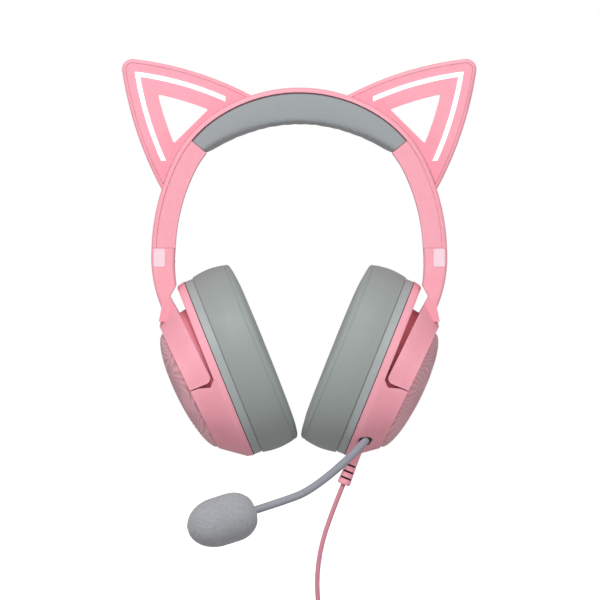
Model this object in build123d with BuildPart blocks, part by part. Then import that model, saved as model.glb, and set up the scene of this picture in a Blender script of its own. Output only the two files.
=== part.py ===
from build123d import *
from math import asin, atan2, cos, degrees, hypot, pi, radians, sin, sqrt, tan
import os

# A closed-back gaming headset with two ear-shaped light housings on its band.
# Millimetres. +Z is up, -Y is the way the wearer faces, +X is the wearer's left.
# The origin is the middle of the band pad's underside, where the headset rests on a head.

# ---- Clearances ----
RUN_FIT = 0.05  # radial, a pin that turns in a bore
SLIDE_FIT = 0.35  # each side, a strip or button that slides
SEAM = 0.4  # gap at a seam between bodies that move apart
PAD_GAP = 0.1  # between a soft part and the hard part that it rests on
JOIN_GAP = 0.15  # each side, a cover in its rabbet, and between a stem and its band's end

# ---- Band: three tangent arcs on each side ----
BAND_TOP_Z = 18.9
CROWN_R = 81.0
CROWN_ANGLE = 35.65  # from straight up to the end of the crown arc
SHOULDER_R = 63.9
SHOULDER_ANGLE = 63.95  # from straight up to the end of the shoulder arc
SIDE_R = 114.1
BAND_END_Z = -66.6
BAND_T = 12.7  # outer face to inner face, beyond the pad
COVER_T = 2.5
BAND_WALL = 1.8
GROOVE_W = 0.35  # the shadow line between the two covers
GROOVE_DEPTH = 0.6
BAND_HALF_TOP = 19.0  # half the band's width, front to back
BAND_HALF_END = 14.0
BAND_EDGE_R = 1.8
END_WALL = 2.0
PAD_UNDER_R = 88.9
PAD_END_ANGLE = 50.9  # about the shoulder arc's centre, from straight up
PAD_INSET = 1.0
CHANNEL_HALF = 11.0  # the channel in the pad for the spring and the cable
CHANNEL_DEPTH = 6.6
SPRING_T = 1.0
SPRING_HALF = 7.0
SPRING_DEPTH = 2.9
SPRING_END_ANGLE = 66.5  # from straight up
CABLE_D = 1.6
BAND_SCREW_ANGLES = (56.0, 74.0)
BAND_SCREW_Y = 11.0
SCREW_R = 0.9
SCREW_HEAD_R = 1.7
SCREW_HEAD_H = 1.1
BOSS_R = 1.9

# ---- Ear housings: two large arcs that meet at the tip ----
EAR_TOP_CENTRE = (108.9, -142.7)
EAR_TOP_R = 178.3
EAR_SIDE_CENTRE = (-95.9, 56.4)
EAR_SIDE_R = 192.7
EAR_TIP_R = 5.5
EAR_T = 9.0
EAR_EDGE_R = 1.4
EAR_RIM = 2.0
EAR_WALL = 2.0
EAR_COVER_T = 2.5
LIGHT_INSET = 6.6
LIGHT_W = 2.4
LIGHT_PROUD = 0.3
LIGHT_END_X = 39.5
LIGHT_END_Z = -20.0
BOARD_T = 1.0
BOARD_MARGIN = 0.6
HOLE_INSET = 16.4
HOLE_LIFT = 2.9  # the hole's long side above the shoulder arc
HOLE_SIDE_ANGLE = 44.6
HOLE_WALL = 2.0
HOLE_CORNER_R = 0.7
EAR_BOSS_INSET = 12.4
EAR_BOSS_R = 1.7
EAR_SCREW_R = 0.8
EAR_SCREW_X = 55.0

# ---- Cup: its frame has v to the rear, u up the cup, w outward ----
CUP_X = 43.0
CUP_Z = -131.0
CUP_TILT = 22.0
CUP_HALF_H = 50.0
CUP_HALF_D = 43.0
RIM_W = 3.4
RIM_DRAFT = 0.8
FACE_W = 18.7  # the outer face's middle
FACE_TILT = 3.9
FACE_DROP = 3.1
FACE_SHRINK_H = 13.4
FACE_SHRINK_D = 6.0
CORE_MARGIN_H = 2.0
CORE_MARGIN_D = 5.8
CORE_DROP = 1.9
CORE_TOP_SHRINK = 12.0
CORE_SIDE_SHRINK = 9.0
CUP_WALL = 2.0
RECESS_W = 4.4
DOME_MARGIN = 1.0
DOME_H = 8.0
DOME_WALL = 1.8
FACE_LEDGE = 6.0
POST_R = 2.4
POST_V = 20.0
POST_U = (16.0, -26.0)
BAFFLE_T = 4.4
BAFFLE_GAP = 0.45
BAFFLE_INSET = 0.3
DRIVER_R = 20.0
DRIVER_T = 8.0
MAGNET_R = 9.0
CUSHION_T = 22.1
CUSHION_OVER = 0.4
CUSHION_HOLE_HALF_H = 28.0
CUSHION_HOLE_HALF_D = 22.0
CUSHION_EDGE_R = 5.0
CUSHION_INNER_R = 3.0
MESH_T = 0.8
MESH_GAP = 0.6

# ---- Yoke and slider ----
PIVOT_U = 2.3
PIVOT_W = 12.9
PIVOT_R = 2.0
PIVOT_LENGTH = 7.5
ARM_END = 7.4  # from the pivot's axis to the arm's end and to its inner edge
ARM_CORNER_R = 3.2
ARM_GAP = 0.7
POCKET_DEEP = 10.0  # under the pivot's axis, where the arm's corner swings
YOKE_CLEAR = 1.0
ARM_SHOULDER_U = 36.0
ARM_SHOULDER_W = 8.6
CROTCH_U = 45.6
CROTCH_W = 9.7
STEM_LIP_U = 49.9
STEM_LIP_W = 4.4
NECK_U = 41.5
NECK_W = 16.2
BUMP_U = 33.6
BUMP_W = 21.4
STEM_BOW_OUT = 1.9  # how far the stem's sides bow from straight
STEM_BOW_IN = 0.6
SLIDE_LEAN = 5.0
STRIP_T = 1.2
STRIP_HALF = 8.0
STRIP_UP = 38.0
STRIP_DOWN = 12.0
STRIP_DEPTH = 9.0  # the strip's middle under the band's outer face, at the seam
NOTCH_R = 0.8
NOTCHES = 8
NOTCH_PITCH = 3.5
MARKER_W = 6.0
MARKER_H = 9.6
MARKER_T = 0.8
MARKER_PROUD = 0.2
MARKER_EDGE = 1.2  # from the stem's outer edge

# ---- Controls on the wearer's left cup ----
WHEEL_R = 8.0
WHEEL_T = 4.0
WHEEL_PROUD = 1.6
WHEEL_ANGLE = 28.0
WHEEL_W = 11.4
WHEEL_POST_R = 1.5
BOARD_W = 7.0
BOARD_INSET_D = 8.6
BOARD_INSET_H = 11.0
MAIN_BOARD_T = 1.4
BOARD_CORNER = (8.0, -11.5)  # its inner corner, in v and u
BUTTON_R = 3.0
BUTTON_ANGLE = 56.0
BUTTON_LEVEL = 0.5
BUTTON_PROUD = 1.2
BUTTON_TRAVEL = 0.8
BUTTON_FLANGE = 0.8
BUTTON_FLANGE_T = 0.6
BUTTON_FLANGE_GAP = 0.9
BUTTON_EDGE_R = 0.5

# ---- Microphone ----
SOCKET_ANGLE = 55.0
SOCKET_LEVEL = 0.27
SOCKET_R = 3.1
SOCKET_WALL = 0.7
SOCKET_PROUD = 0.3
SOCKET_DEPTH = 7.0
BOOM_R = 2.1
BOOM_JOINT_GAP = 0.15
BOOM_JOINT_BACK = 1.2
BOOM_ROUTE = (
    (28.2, -34.0, -177.6),
    (5.8, -57.0, -195.5),
    (-7.6, -65.5, -200.6),
    (-24.7, -72.0, -205.9),
)
BOOM_SPLITS = (0.5, 0.62)  # the joints' places along the second run and the last run
HOUSING_R = 4.6
HOUSING_LENGTH = 19.0
COLLAR_LENGTH = 3.0
COLLAR_R = 2.7
COLLAR_OUT = 0.5  # how far it shows outside the windscreen
CAPSULE_R = 3.0
CAPSULE_T = 4.0
FOAM_LENGTH = 37.4
FOAM_R = 13.1
FOAM_NEAR = 11.0
FOAM_NEAR_SPAN = 13.0
FOAM_FAR_SPAN = 17.0

# ---- Cord ----
CORD_D = 2.6
RELIEF_W = 5.2
RELIEF_R = 2.9
RELIEF_TIP_R = 3.6
RELIEF_OUT = 14.7
RELIEF_IN = 8.6
RELIEF_FLANGE_R = 4.3
RELIEF_SLOTS = 3
RELIEF_PITCH = 3.6
RELIEF_FIRST_SLOT = 3.4
RELIEF_SLOT_T = 1.1
RELIEF_CORE = 0.5  # left round the cord at a slot
CORD_ROUTE = ((17.2, 0.4, -208.6), (11.4, 0.0, -226.4), (8.2, -1.0, -244.0), (7.4, -1.4, -259.0))
COIL_R = 15.6
COIL_SECTION_R = 6.4
COIL_Z = -288.0
TAIL = 26.0
TIE_W = 6.0
PLUG_L = 24.0
PLUG_W = 14.0
PLUG_T = 7.4
SHELL_L = 12.0
SHELL_W = 12.0
SHELL_T = 4.5
SHELL_WALL = 0.4

os.makedirs("parts", exist_ok=True)


def save(piece, label):
    """Label a finished piece and write it."""
    piece.label = label
    export_step(piece, f"parts/{label}.step")


def save_pair(piece, label):
    """Write a piece of the wearer's left side, and its mirror image for the right side."""
    save(piece, f"{label}_left")
    with BuildPart() as right:
        mirror(piece, about=Plane.YZ)
    save(right.part, f"{label}_right")


# ==== Band ====
crown_centre = Vector(0, BAND_TOP_Z - CROWN_R)
shoulder_centre = crown_centre + Vector(0, CROWN_R - SHOULDER_R).rotate(Axis.Z, -CROWN_ANGLE)
side_centre = shoulder_centre + Vector(0, SHOULDER_R - SIDE_R).rotate(Axis.Z, -SHOULDER_ANGLE)


def end_angle(depth):
    return degrees(asin((BAND_END_Z - side_centre.Y) / (SIDE_R - depth)))


def end_x(depth):
    return side_centre.X + (SIDE_R - depth) * cos(radians(end_angle(depth)))


def band_curve(depth):
    """Draw the band's curve at a depth under its outer face, from one end round to the other."""
    CenterArc(crown_centre, CROWN_R - depth, 90 - CROWN_ANGLE, 2 * CROWN_ANGLE)
    shoulder_turn = SHOULDER_ANGLE - CROWN_ANGLE
    side_turn = 90 - SHOULDER_ANGLE - end_angle(depth)
    CenterArc(shoulder_centre, SHOULDER_R - depth, 90 - SHOULDER_ANGLE, shoulder_turn)
    CenterArc(side_centre, SIDE_R - depth, end_angle(depth), side_turn)
    other_shoulder = (-shoulder_centre.X, shoulder_centre.Y)
    other_side = (-side_centre.X, side_centre.Y)
    CenterArc(other_shoulder, SHOULDER_R - depth, 90 + CROWN_ANGLE, shoulder_turn)
    CenterArc(other_side, SIDE_R - depth, 90 + SHOULDER_ANGLE, side_turn)


def band_layer(outer, inner):
    """The face of the band between two depths, in the front view."""
    with BuildSketch(Plane.XZ) as layer:
        with BuildLine():
            band_curve(outer)
            band_curve(inner)
            for side in (1, -1):
                Line((side * end_x(outer), BAND_END_Z), (side * end_x(inner), BAND_END_Z))
        make_face()
    return layer.sketch


def side_taper(inset):
    """The band's outline seen from the side, as a block to intersect with."""
    top = BAND_HALF_TOP - inset
    end = BAND_HALF_END - inset
    low = 2 * BAND_END_Z
    with BuildPart() as block:
        with BuildSketch(Plane.YZ):
            half = [(top, 2 * BAND_TOP_Z), (top, 0), (end, BAND_END_Z), (end, low)]
            Polygon(*half, *[(-y, z) for y, z in reversed(half)], align=None)
        extrude(amount=2 * CROWN_R, both=True)
    return block.part


def radial_plane(angle):
    """A cut across the band's shoulder, square to its curve, facing the band's end."""
    along = Vector(cos(radians(angle)), 0, -sin(radians(angle)))
    return Plane(origin=(shoulder_centre.X, 0, shoulder_centre.Y), z_dir=along)


def depth_at(place):
    """How far a point lies under the band's outer face."""
    across, up = abs(place.X), place.Z
    for centre, radius, limit in (
        (crown_centre, CROWN_R, CROWN_ANGLE),
        (shoulder_centre, SHOULDER_R, SHOULDER_ANGLE),
        (side_centre, SIDE_R, 180),
    ):
        angle = degrees(atan2(across - centre.X, up - centre.Y))
        if angle <= limit:
            return radius - hypot(across - centre.X, up - centre.Y)


def band_normal_plane(angle, depth):
    """A plane at a depth under the outer face, facing the head, on the side arc or the shoulder arc."""
    centre, radius = (side_centre, SIDE_R) if angle > SHOULDER_ANGLE else (shoulder_centre, SHOULDER_R)
    out = Vector(sin(radians(angle)), 0, cos(radians(angle)))
    return Plane(origin=Vector(centre.X, 0, centre.Y) + out * (radius - depth), x_dir=(0, 1, 0), z_dir=-out)


def mirrored(plane):
    """The same plane on the wearer's right side."""
    flip = Vector(-1, 1, 1)
    turned = [Vector(v.X * flip.X, v.Y, v.Z) for v in (plane.origin, plane.x_dir, plane.z_dir)]
    return Plane(origin=turned[0], x_dir=turned[1], z_dir=turned[2])


full_taper = side_taper(0)
pad_taper = side_taper(PAD_INSET)
with BuildPart() as hollow_block:
    extrude(band_layer(COVER_T - 1, BAND_T - BAND_WALL), amount=BAND_HALF_TOP, both=True)
    add(side_taper(BAND_WALL), mode=Mode.INTERSECT)
    split(bisect_by=Plane.XY.offset(BAND_END_Z + END_WALL), keep=Keep.TOP)
band_hollow = hollow_block.part

boss_places = [band_normal_plane(angle, 0) for angle in BAND_SCREW_ANGLES]
boss_depth = BAND_T - BAND_WALL
strip_up = Vector(-sin(radians(SLIDE_LEAN)), 0, cos(radians(SLIDE_LEAN)))
strip_out = Vector(cos(radians(SLIDE_LEAN)), 0, sin(radians(SLIDE_LEAN)))
strip_plane = Plane(origin=(end_x(STRIP_DEPTH), 0, BAND_END_Z), x_dir=(0, 1, 0), z_dir=strip_out)


with BuildPart() as outer_cover:
    extrude(band_layer(0, COVER_T), amount=BAND_HALF_TOP, both=True)
    add(full_taper, mode=Mode.INTERSECT)
    outer_edges = outer_cover.edges().filter_by(
        lambda edge: abs((edge @ 0.5).Y) > BAND_HALF_END - 0.5 and depth_at(edge @ 0.5) < COVER_T / 2
    )
    fillet(outer_edges.filter_by(lambda edge: edge.length > COVER_T + 1), radius=BAND_EDGE_R)
    for plane in boss_places:
        for turned in (plane, mirrored(plane)):
            with BuildSketch(turned.offset(COVER_T - 0.1)):
                with Locations((BAND_SCREW_Y, 0), (-BAND_SCREW_Y, 0)):
                    Circle(BOSS_R)
            extrude(amount=boss_depth - COVER_T + 0.1)
            with BuildSketch(turned.offset(COVER_T + 1)):
                with Locations((BAND_SCREW_Y, 0), (-BAND_SCREW_Y, 0)):
                    Circle(SCREW_R)
            extrude(amount=BAND_T, mode=Mode.SUBTRACT)
save(outer_cover.part, "headband_outer_cover")

with BuildPart() as groove_block:
    extrude(band_layer(COVER_T, COVER_T + GROOVE_W), amount=BAND_HALF_TOP, both=True)
    add(side_taper(GROOVE_DEPTH), mode=Mode.SUBTRACT)

with BuildPart() as inner_cover:
    extrude(band_layer(COVER_T, BAND_T), amount=BAND_HALF_TOP, both=True)
    add(full_taper, mode=Mode.INTERSECT)
    split(bisect_by=radial_plane(PAD_END_ANGLE), keep=Keep.TOP)
    split(bisect_by=Plane.YZ, keep=Keep.TOP)
    add(band_hollow, mode=Mode.SUBTRACT)
    add(groove_block.part, mode=Mode.SUBTRACT)
    with BuildSketch(strip_plane.offset(-STRIP_T / 2 - SLIDE_FIT)):
        Rectangle(2 * (STRIP_HALF + SLIDE_FIT), 4 * END_WALL)
    extrude(amount=STRIP_T + 2 * SLIDE_FIT, mode=Mode.SUBTRACT)
    for plane in boss_places:
        with BuildSketch(plane.offset(boss_depth - 1)):
            with Locations((BAND_SCREW_Y, 0), (-BAND_SCREW_Y, 0)):
                Circle(SCREW_R + JOIN_GAP)
        extrude(amount=BAND_T, mode=Mode.SUBTRACT)
        with BuildSketch(plane.offset(BAND_T - SCREW_HEAD_H)):
            with Locations((BAND_SCREW_Y, 0), (-BAND_SCREW_Y, 0)):
                Circle(SCREW_HEAD_R + JOIN_GAP)
        extrude(amount=BAND_T, mode=Mode.SUBTRACT)
save_pair(inner_cover.part, "headband_inner_cover")

with BuildPart() as band_screws:
    for plane in boss_places:
        for turned in (plane, mirrored(plane)):
            with BuildSketch(turned.offset(COVER_T + 2)):
                with Locations((BAND_SCREW_Y, 0), (-BAND_SCREW_Y, 0)):
                    Circle(SCREW_R)
            extrude(amount=BAND_T - SCREW_HEAD_H - COVER_T - 2)
            with BuildSketch(turned.offset(BAND_T - SCREW_HEAD_H)):
                with Locations((BAND_SCREW_Y, 0), (-BAND_SCREW_Y, 0)):
                    Circle(SCREW_HEAD_R)
            extrude(amount=SCREW_HEAD_H)
save(band_screws.part, "headband_screws")

pad_turn = PAD_END_ANGLE - CROWN_ANGLE
pad_end_out = shoulder_centre + Vector(0, SHOULDER_R - COVER_T - PAD_GAP).rotate(Axis.Z, -PAD_END_ANGLE)
pad_end_in = shoulder_centre + Vector(0, SHOULDER_R - BAND_T).rotate(Axis.Z, -PAD_END_ANGLE)
pad_top_depth = COVER_T + PAD_GAP
with BuildPart() as band_pad:
    with BuildSketch(Plane.XZ):
        with BuildLine():
            CenterArc(crown_centre, CROWN_R - pad_top_depth, 90 - CROWN_ANGLE, 2 * CROWN_ANGLE)
            shoulder_start = 90 - PAD_END_ANGLE
            CenterArc(shoulder_centre, SHOULDER_R - pad_top_depth, shoulder_start, pad_turn)
            other_shoulder = (-shoulder_centre.X, shoulder_centre.Y)
            CenterArc(other_shoulder, SHOULDER_R - pad_top_depth, 90 + CROWN_ANGLE, pad_turn)
            Line(pad_end_out, pad_end_in)
            Line((-pad_end_out.X, pad_end_out.Y), (-pad_end_in.X, pad_end_in.Y))
            ThreePointArc(pad_end_in, (0, 0), (-pad_end_in.X, pad_end_in.Y))
        make_face()
    extrude(amount=BAND_HALF_TOP, both=True)
    add(pad_taper, mode=Mode.INTERSECT)
    for side in (1, -1):
        end_cut = radial_plane(PAD_END_ANGLE).offset(-PAD_GAP)
        split(bisect_by=end_cut if side > 0 else mirrored(end_cut), keep=Keep.BOTTOM)
    channel = band_layer(pad_top_depth - 1, CHANNEL_DEPTH)
    extrude(channel, amount=CHANNEL_HALF, both=True, mode=Mode.SUBTRACT)
save(band_pad.part, "headband_pad")

with BuildPart() as spring:
    extrude(band_layer(SPRING_DEPTH, SPRING_DEPTH + SPRING_T), amount=SPRING_HALF, both=True)
    for side in (1, -1):
        out = Vector(side * cos(radians(SPRING_END_ANGLE)), 0, -sin(radians(SPRING_END_ANGLE)))
        split(bisect_by=Plane(origin=(side * side_centre.X, 0, side_centre.Y), z_dir=out), keep=Keep.BOTTOM)
save(spring.part, "headband_spring")

cable_depth = SPRING_DEPTH + CABLE_D / 2
cable_y = SPRING_HALF + CABLE_D
with BuildPart() as crossover:
    for turn in (CROWN_ANGLE, -CROWN_ANGLE):
        with BuildSketch(Plane.YZ):
            with Locations((cable_y, BAND_TOP_Z - cable_depth)):
                Circle(CABLE_D / 2)
        revolve(axis=Axis((0, 0, crown_centre.Y), (0, 1, 0)), revolution_arc=turn)
save(crossover.part, "crossover_cable")

# ==== Ear housings ====
top_reach = EAR_TOP_R - EAR_BOSS_INSET
side_reach = EAR_SIDE_R - EAR_BOSS_INSET
top_rise = sqrt(top_reach**2 - (EAR_SCREW_X - EAR_TOP_CENTRE[0]) ** 2)
side_run = sqrt(side_reach**2 - EAR_SIDE_CENTRE[1] ** 2)
ear_screw_places = [
    (EAR_SCREW_X, EAR_TOP_CENTRE[1] + top_rise),
    (EAR_SIDE_CENTRE[0] + side_run, 0),
]


def ear_face(inset, lift=0.0):
    """The ear's outline in the front view, shrunk by an inset from its edge and lifted off the band."""
    with BuildSketch(Plane.XZ) as face:
        with Locations(EAR_TOP_CENTRE):
            Circle(EAR_TOP_R - inset)
        with Locations(EAR_SIDE_CENTRE):
            Circle(EAR_SIDE_R - inset, mode=Mode.INTERSECT)
        with Locations((60, 0)):
            Rectangle(80, 80, mode=Mode.INTERSECT)
        with BuildLine():
            band_curve(-lift)
            Line((end_x(-lift), BAND_END_Z), (-end_x(-lift), BAND_END_Z))
        make_face(mode=Mode.SUBTRACT)
        fillet(face.vertices().sort_by(Axis.X)[-1], max(EAR_TIP_R - inset, 0.4))
    return face.sketch


def hole_face(grown=0.0):
    """The triangular opening, parallel to the ear's two edges and to the band."""
    reach = SHOULDER_R + HOLE_LIFT - grown
    side = Vector(reach, 0).rotate(Axis.Z, 90 - HOLE_SIDE_ANGLE)
    with BuildSketch(Plane.XZ) as face:
        with Locations(EAR_TOP_CENTRE):
            Circle(EAR_TOP_R - HOLE_INSET + grown)
        with Locations(EAR_SIDE_CENTRE):
            Circle(EAR_SIDE_R - HOLE_INSET + grown, mode=Mode.INTERSECT)
        side_place = (shoulder_centre.X + side.X, shoulder_centre.Y + side.Y)
        with Locations(Location(side_place, 90 - HOLE_SIDE_ANGLE)):
            Rectangle(90, 90, align=(Align.MIN, Align.CENTER), mode=Mode.INTERSECT)
        fillet(face.vertices(), HOLE_CORNER_R + grown)
    return face.sketch


def light_face(inset, width):
    """A band of constant width that follows the ear's two edges round its tip."""
    with BuildSketch(Plane.XZ) as face:
        add(ear_face(inset))
        add(ear_face(inset + width), mode=Mode.SUBTRACT)
        with Locations((LIGHT_END_X, LIGHT_END_Z)):
            Rectangle(90, 90, align=(Align.MIN, Align.MIN), mode=Mode.INTERSECT)
    return face.sketch


ear_front = -EAR_T / 2
cover_back = ear_front + EAR_COVER_T
board_front = cover_back + 0.4
cavity_back = EAR_T / 2 - EAR_WALL


def slab(face, front, back):
    """A face of the front view made solid between two places along Y."""
    with BuildPart() as solid:
        extrude(Pos(0, back, 0) * face, amount=back - front)
    return solid.part


ear_hole = slab(hole_face(), -EAR_T, EAR_T)
ear_cavity = slab(ear_face(2 * EAR_RIM, EAR_WALL), cover_back - 1, cavity_back)
hole_wall = slab(hole_face(HOLE_WALL), cover_back, cavity_back)

with BuildPart() as ear_shell:
    extrude(ear_face(0), amount=EAR_T / 2, both=True)
    rounded = ear_shell.edges().filter_by(
        lambda edge: abs(abs((edge @ 0.5).Y) - EAR_T / 2) < 0.01 and depth_at(edge @ 0.5) < -0.5
    )
    fillet(rounded, radius=EAR_EDGE_R)
    add(slab(ear_face(EAR_RIM, JOIN_GAP), -EAR_T, cover_back), mode=Mode.SUBTRACT)
    add(ear_cavity, mode=Mode.SUBTRACT)
    add(hole_wall)
    add(ear_hole, mode=Mode.SUBTRACT)
    for x, z in ear_screw_places:
        with BuildSketch(Plane.XZ.offset(-EAR_T)):
            with Locations((x, z)):
                Circle(EAR_SCREW_R + JOIN_GAP)
        extrude(amount=EAR_T, mode=Mode.SUBTRACT)
        with BuildSketch(Plane.XZ.offset(-EAR_T)):
            with Locations((x, z)):
                Circle(SCREW_HEAD_R + JOIN_GAP)
        extrude(amount=EAR_T / 2 + SCREW_HEAD_H, mode=Mode.SUBTRACT)
save_pair(ear_shell.part, "ear_shell")

light_solid = slab(light_face(LIGHT_INSET, LIGHT_W), ear_front - LIGHT_PROUD, board_front)
with BuildPart() as ear_cover:
    extrude(Pos(0, cover_back, 0) * ear_face(EAR_RIM + JOIN_GAP, 2 * JOIN_GAP), amount=EAR_COVER_T)
    for x, z in ear_screw_places:
        with BuildSketch(Plane.XZ.offset(-cavity_back)):
            with Locations((x, z)):
                Circle(EAR_BOSS_R)
        extrude(amount=cavity_back - cover_back)
        with BuildSketch(Plane.XZ.offset(-cavity_back)):
            with Locations((x, z)):
                Circle(EAR_SCREW_R)
        extrude(amount=cavity_back - cover_back, mode=Mode.SUBTRACT)
    add(light_solid, mode=Mode.SUBTRACT)
    add(ear_hole, mode=Mode.SUBTRACT)
save_pair(ear_cover.part, "ear_cover")
save_pair(light_solid, "ear_light")
board_face = light_face(LIGHT_INSET - BOARD_MARGIN, LIGHT_W + 2 * BOARD_MARGIN)
save_pair(slab(board_face, board_front, board_front + BOARD_T), "ear_light_board")

with BuildPart() as ear_screws:
    for x, z in ear_screw_places:
        for side in (1, -1):
            with BuildSketch(Plane.XZ.offset(-EAR_T / 2 + SCREW_HEAD_H)):
                with Locations((side * x, z)):
                    Circle(EAR_SCREW_R)
            extrude(amount=EAR_T / 2)
            with BuildSketch(Plane.XZ.offset(-EAR_T / 2)):
                with Locations((side * x, z)):
                    Circle(SCREW_HEAD_R)
            extrude(amount=SCREW_HEAD_H)
save(ear_screws.part, "ear_screws")

# ==== Cup ====
tilt = radians(CUP_TILT)
cup_plane = Plane(origin=(CUP_X, 0, CUP_Z), x_dir=(0, 1, 0), z_dir=(cos(tilt), 0, -sin(tilt)))
face_lean = radians(CUP_TILT + FACE_TILT)
face_plane = Plane(
    origin=cup_plane.from_local_coords((0, 0, FACE_W)),
    x_dir=(0, 1, 0),
    z_dir=(cos(face_lean), 0, -sin(face_lean)),
)


def cup_loft(*sections):
    """A solid through ellipses, each a plane, its centre's height, and its half sizes in v and u."""
    with BuildPart() as body:
        for plane, rise, half_d, half_h in sections:
            with BuildSketch(plane):
                with Locations((0, rise)):
                    Ellipse(half_d, half_h)
        loft(ruled=True)
    return body.part


def outer_form(grown, extra=0.0):
    """The cup's outer form, grown by a distance, and made longer past its outer face."""
    face_d = CUP_HALF_D - FACE_SHRINK_D + grown
    face_h = CUP_HALF_H - FACE_SHRINK_H + grown
    rim_d = CUP_HALF_D - RIM_DRAFT + grown
    rim_h = CUP_HALF_H - RIM_DRAFT + grown
    return cup_loft(
        (cup_plane, 0, CUP_HALF_D + grown, CUP_HALF_H + grown),
        (cup_plane.offset(RIM_W), 0, rim_d, rim_h),
        (face_plane.offset(extra), -FACE_DROP, face_d, face_h),
    )


def core_form(grown, extra=0.0):
    """The part of the cup inside the yoke, grown by a distance."""
    root_d = CUP_HALF_D - CORE_SIDE_SHRINK + grown
    root_h = CUP_HALF_H - CORE_TOP_SHRINK + grown
    face_d = CUP_HALF_D - FACE_SHRINK_D - CORE_MARGIN_D + grown
    face_h = CUP_HALF_H - FACE_SHRINK_H - CORE_MARGIN_H + grown
    return cup_loft(
        (cup_plane, -CORE_DROP / 2, root_d, root_h),
        (face_plane.offset(extra), -FACE_DROP - CORE_DROP, face_d, face_h),
    )


def arm_pocket(grown):
    """The pocket that the yoke's arm turns in, grown by a distance, and deeper under the arm's corner."""
    inner = RECESS_W - grown
    floor = PIVOT_U - ARM_END - ARM_GAP - grown
    deep = PIVOT_U - POCKET_DEEP - grown
    far_w = FACE_W + CUP_HALF_D
    far_u = 2 * CUP_HALF_H
    outline = [
        (inner, far_u),
        (inner, deep + ARM_CORNER_R),
        (inner + ARM_CORNER_R, deep),
        (PIVOT_W + 1, floor),
        (far_w, floor),
        (far_w, far_u),
    ]
    with BuildPart() as block:
        with BuildSketch(side_plane):
            Polygon(*outline, align=None)
        extrude(amount=2 * CUP_HALF_D, both=True)
    return block.part


# the cup's side view: x runs outward (w), y runs up the cup (u)
side_plane = Plane(origin=(CUP_X, 0, CUP_Z), x_dir=(cos(tilt), 0, -sin(tilt)), z_dir=(0, -1, 0))

outer_solid = outer_form(0)
core_solid = core_form(0)
with BuildPart() as recess_block:
    add(arm_pocket(0))
    add(core_form(0, extra=30), mode=Mode.SUBTRACT)
with BuildPart() as recess_wall_block:
    add(arm_pocket(CUP_WALL))
    add(core_form(-CUP_WALL, extra=30), mode=Mode.SUBTRACT)
with BuildPart() as cup_hollow_block:
    add(outer_form(-CUP_WALL, extra=-CUP_WALL))
    add(recess_wall_block.part, mode=Mode.SUBTRACT)
cup_hollow = cup_hollow_block.part

face_half_d = CUP_HALF_D - FACE_SHRINK_D - CORE_MARGIN_D - DOME_MARGIN
face_half_h = CUP_HALF_H - FACE_SHRINK_H - CORE_MARGIN_H - DOME_MARGIN
dome_centre = -FACE_DROP - CORE_DROP
post_places = [(v, u) for v in (POST_V, -POST_V) for u in POST_U]
with BuildPart() as posts_block:
    with BuildSketch(cup_plane):
        with Locations(*post_places):
            Circle(POST_R)
    extrude(amount=2 * FACE_W)
    add(core_solid, mode=Mode.INTERSECT)

with BuildPart() as cup_shell:
    add(outer_solid)
    add(recess_block.part, mode=Mode.SUBTRACT)
    add(cup_hollow, mode=Mode.SUBTRACT)
    with BuildSketch(face_plane.offset(-2 * CUP_WALL)):
        with Locations((0, dome_centre)):
            Ellipse(face_half_d - FACE_LEDGE, face_half_h - FACE_LEDGE)
    extrude(amount=4 * CUP_WALL, mode=Mode.SUBTRACT)
    add(posts_block.part)
    with BuildSketch(cup_plane):
        with Locations(*post_places):
            Circle(SCREW_R)
    extrude(amount=SCREW_R * 9, mode=Mode.SUBTRACT)
    with BuildSketch(side_plane):
        with Locations((PIVOT_W, PIVOT_U)):
            Circle(PIVOT_R + RUN_FIT)
    extrude(amount=2 * CUP_HALF_D, both=True, mode=Mode.SUBTRACT)
plain_shell = cup_shell.part

with BuildPart() as dome:
    with BuildSketch(face_plane):
        with Locations((0, dome_centre)):
            Ellipse(face_half_d, face_half_h)
    extrude(amount=DOME_H)
    dome_place = face_plane.shift_origin(face_plane.from_local_coords((0, dome_centre, 0)))
    ball = Sphere(1, mode=Mode.PRIVATE)
    outer_dome = scale(ball, by=(face_half_d, face_half_h, DOME_H), mode=Mode.PRIVATE)
    inner_size = (face_half_d - DOME_WALL, face_half_h - DOME_WALL, DOME_H - DOME_WALL)
    inner_dome = scale(ball, by=inner_size, mode=Mode.PRIVATE)
    add(dome_place.location * outer_dome, mode=Mode.INTERSECT)
    add(dome_place.location * inner_dome, mode=Mode.SUBTRACT)
save_pair(dome.part, "grille_face")

baffle_plane = cup_plane.offset(-BAFFLE_GAP)
with BuildPart() as baffle:
    with BuildSketch(baffle_plane):
        Ellipse(CUP_HALF_D - BAFFLE_INSET, CUP_HALF_H - BAFFLE_INSET)
    extrude(amount=-BAFFLE_T)
    with BuildSketch(baffle_plane.offset(-BAFFLE_T + 1.6)):
        Circle(DRIVER_R)
    extrude(amount=2 * BAFFLE_T, mode=Mode.SUBTRACT)
    with BuildSketch(baffle_plane):
        Circle(DRIVER_R - 2)
    extrude(amount=-2 * BAFFLE_T, mode=Mode.SUBTRACT)
    with BuildSketch(baffle_plane):
        with Locations(*post_places):
            Circle(SCREW_R + JOIN_GAP)
    extrude(amount=-2 * BAFFLE_T, mode=Mode.SUBTRACT)
    with BuildSketch(baffle_plane.offset(-BAFFLE_T)):
        with Locations(*post_places):
            Circle(SCREW_HEAD_R + JOIN_GAP)
    extrude(amount=SCREW_HEAD_H + 0.2, mode=Mode.SUBTRACT)
save_pair(baffle.part, "baffle")

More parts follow.
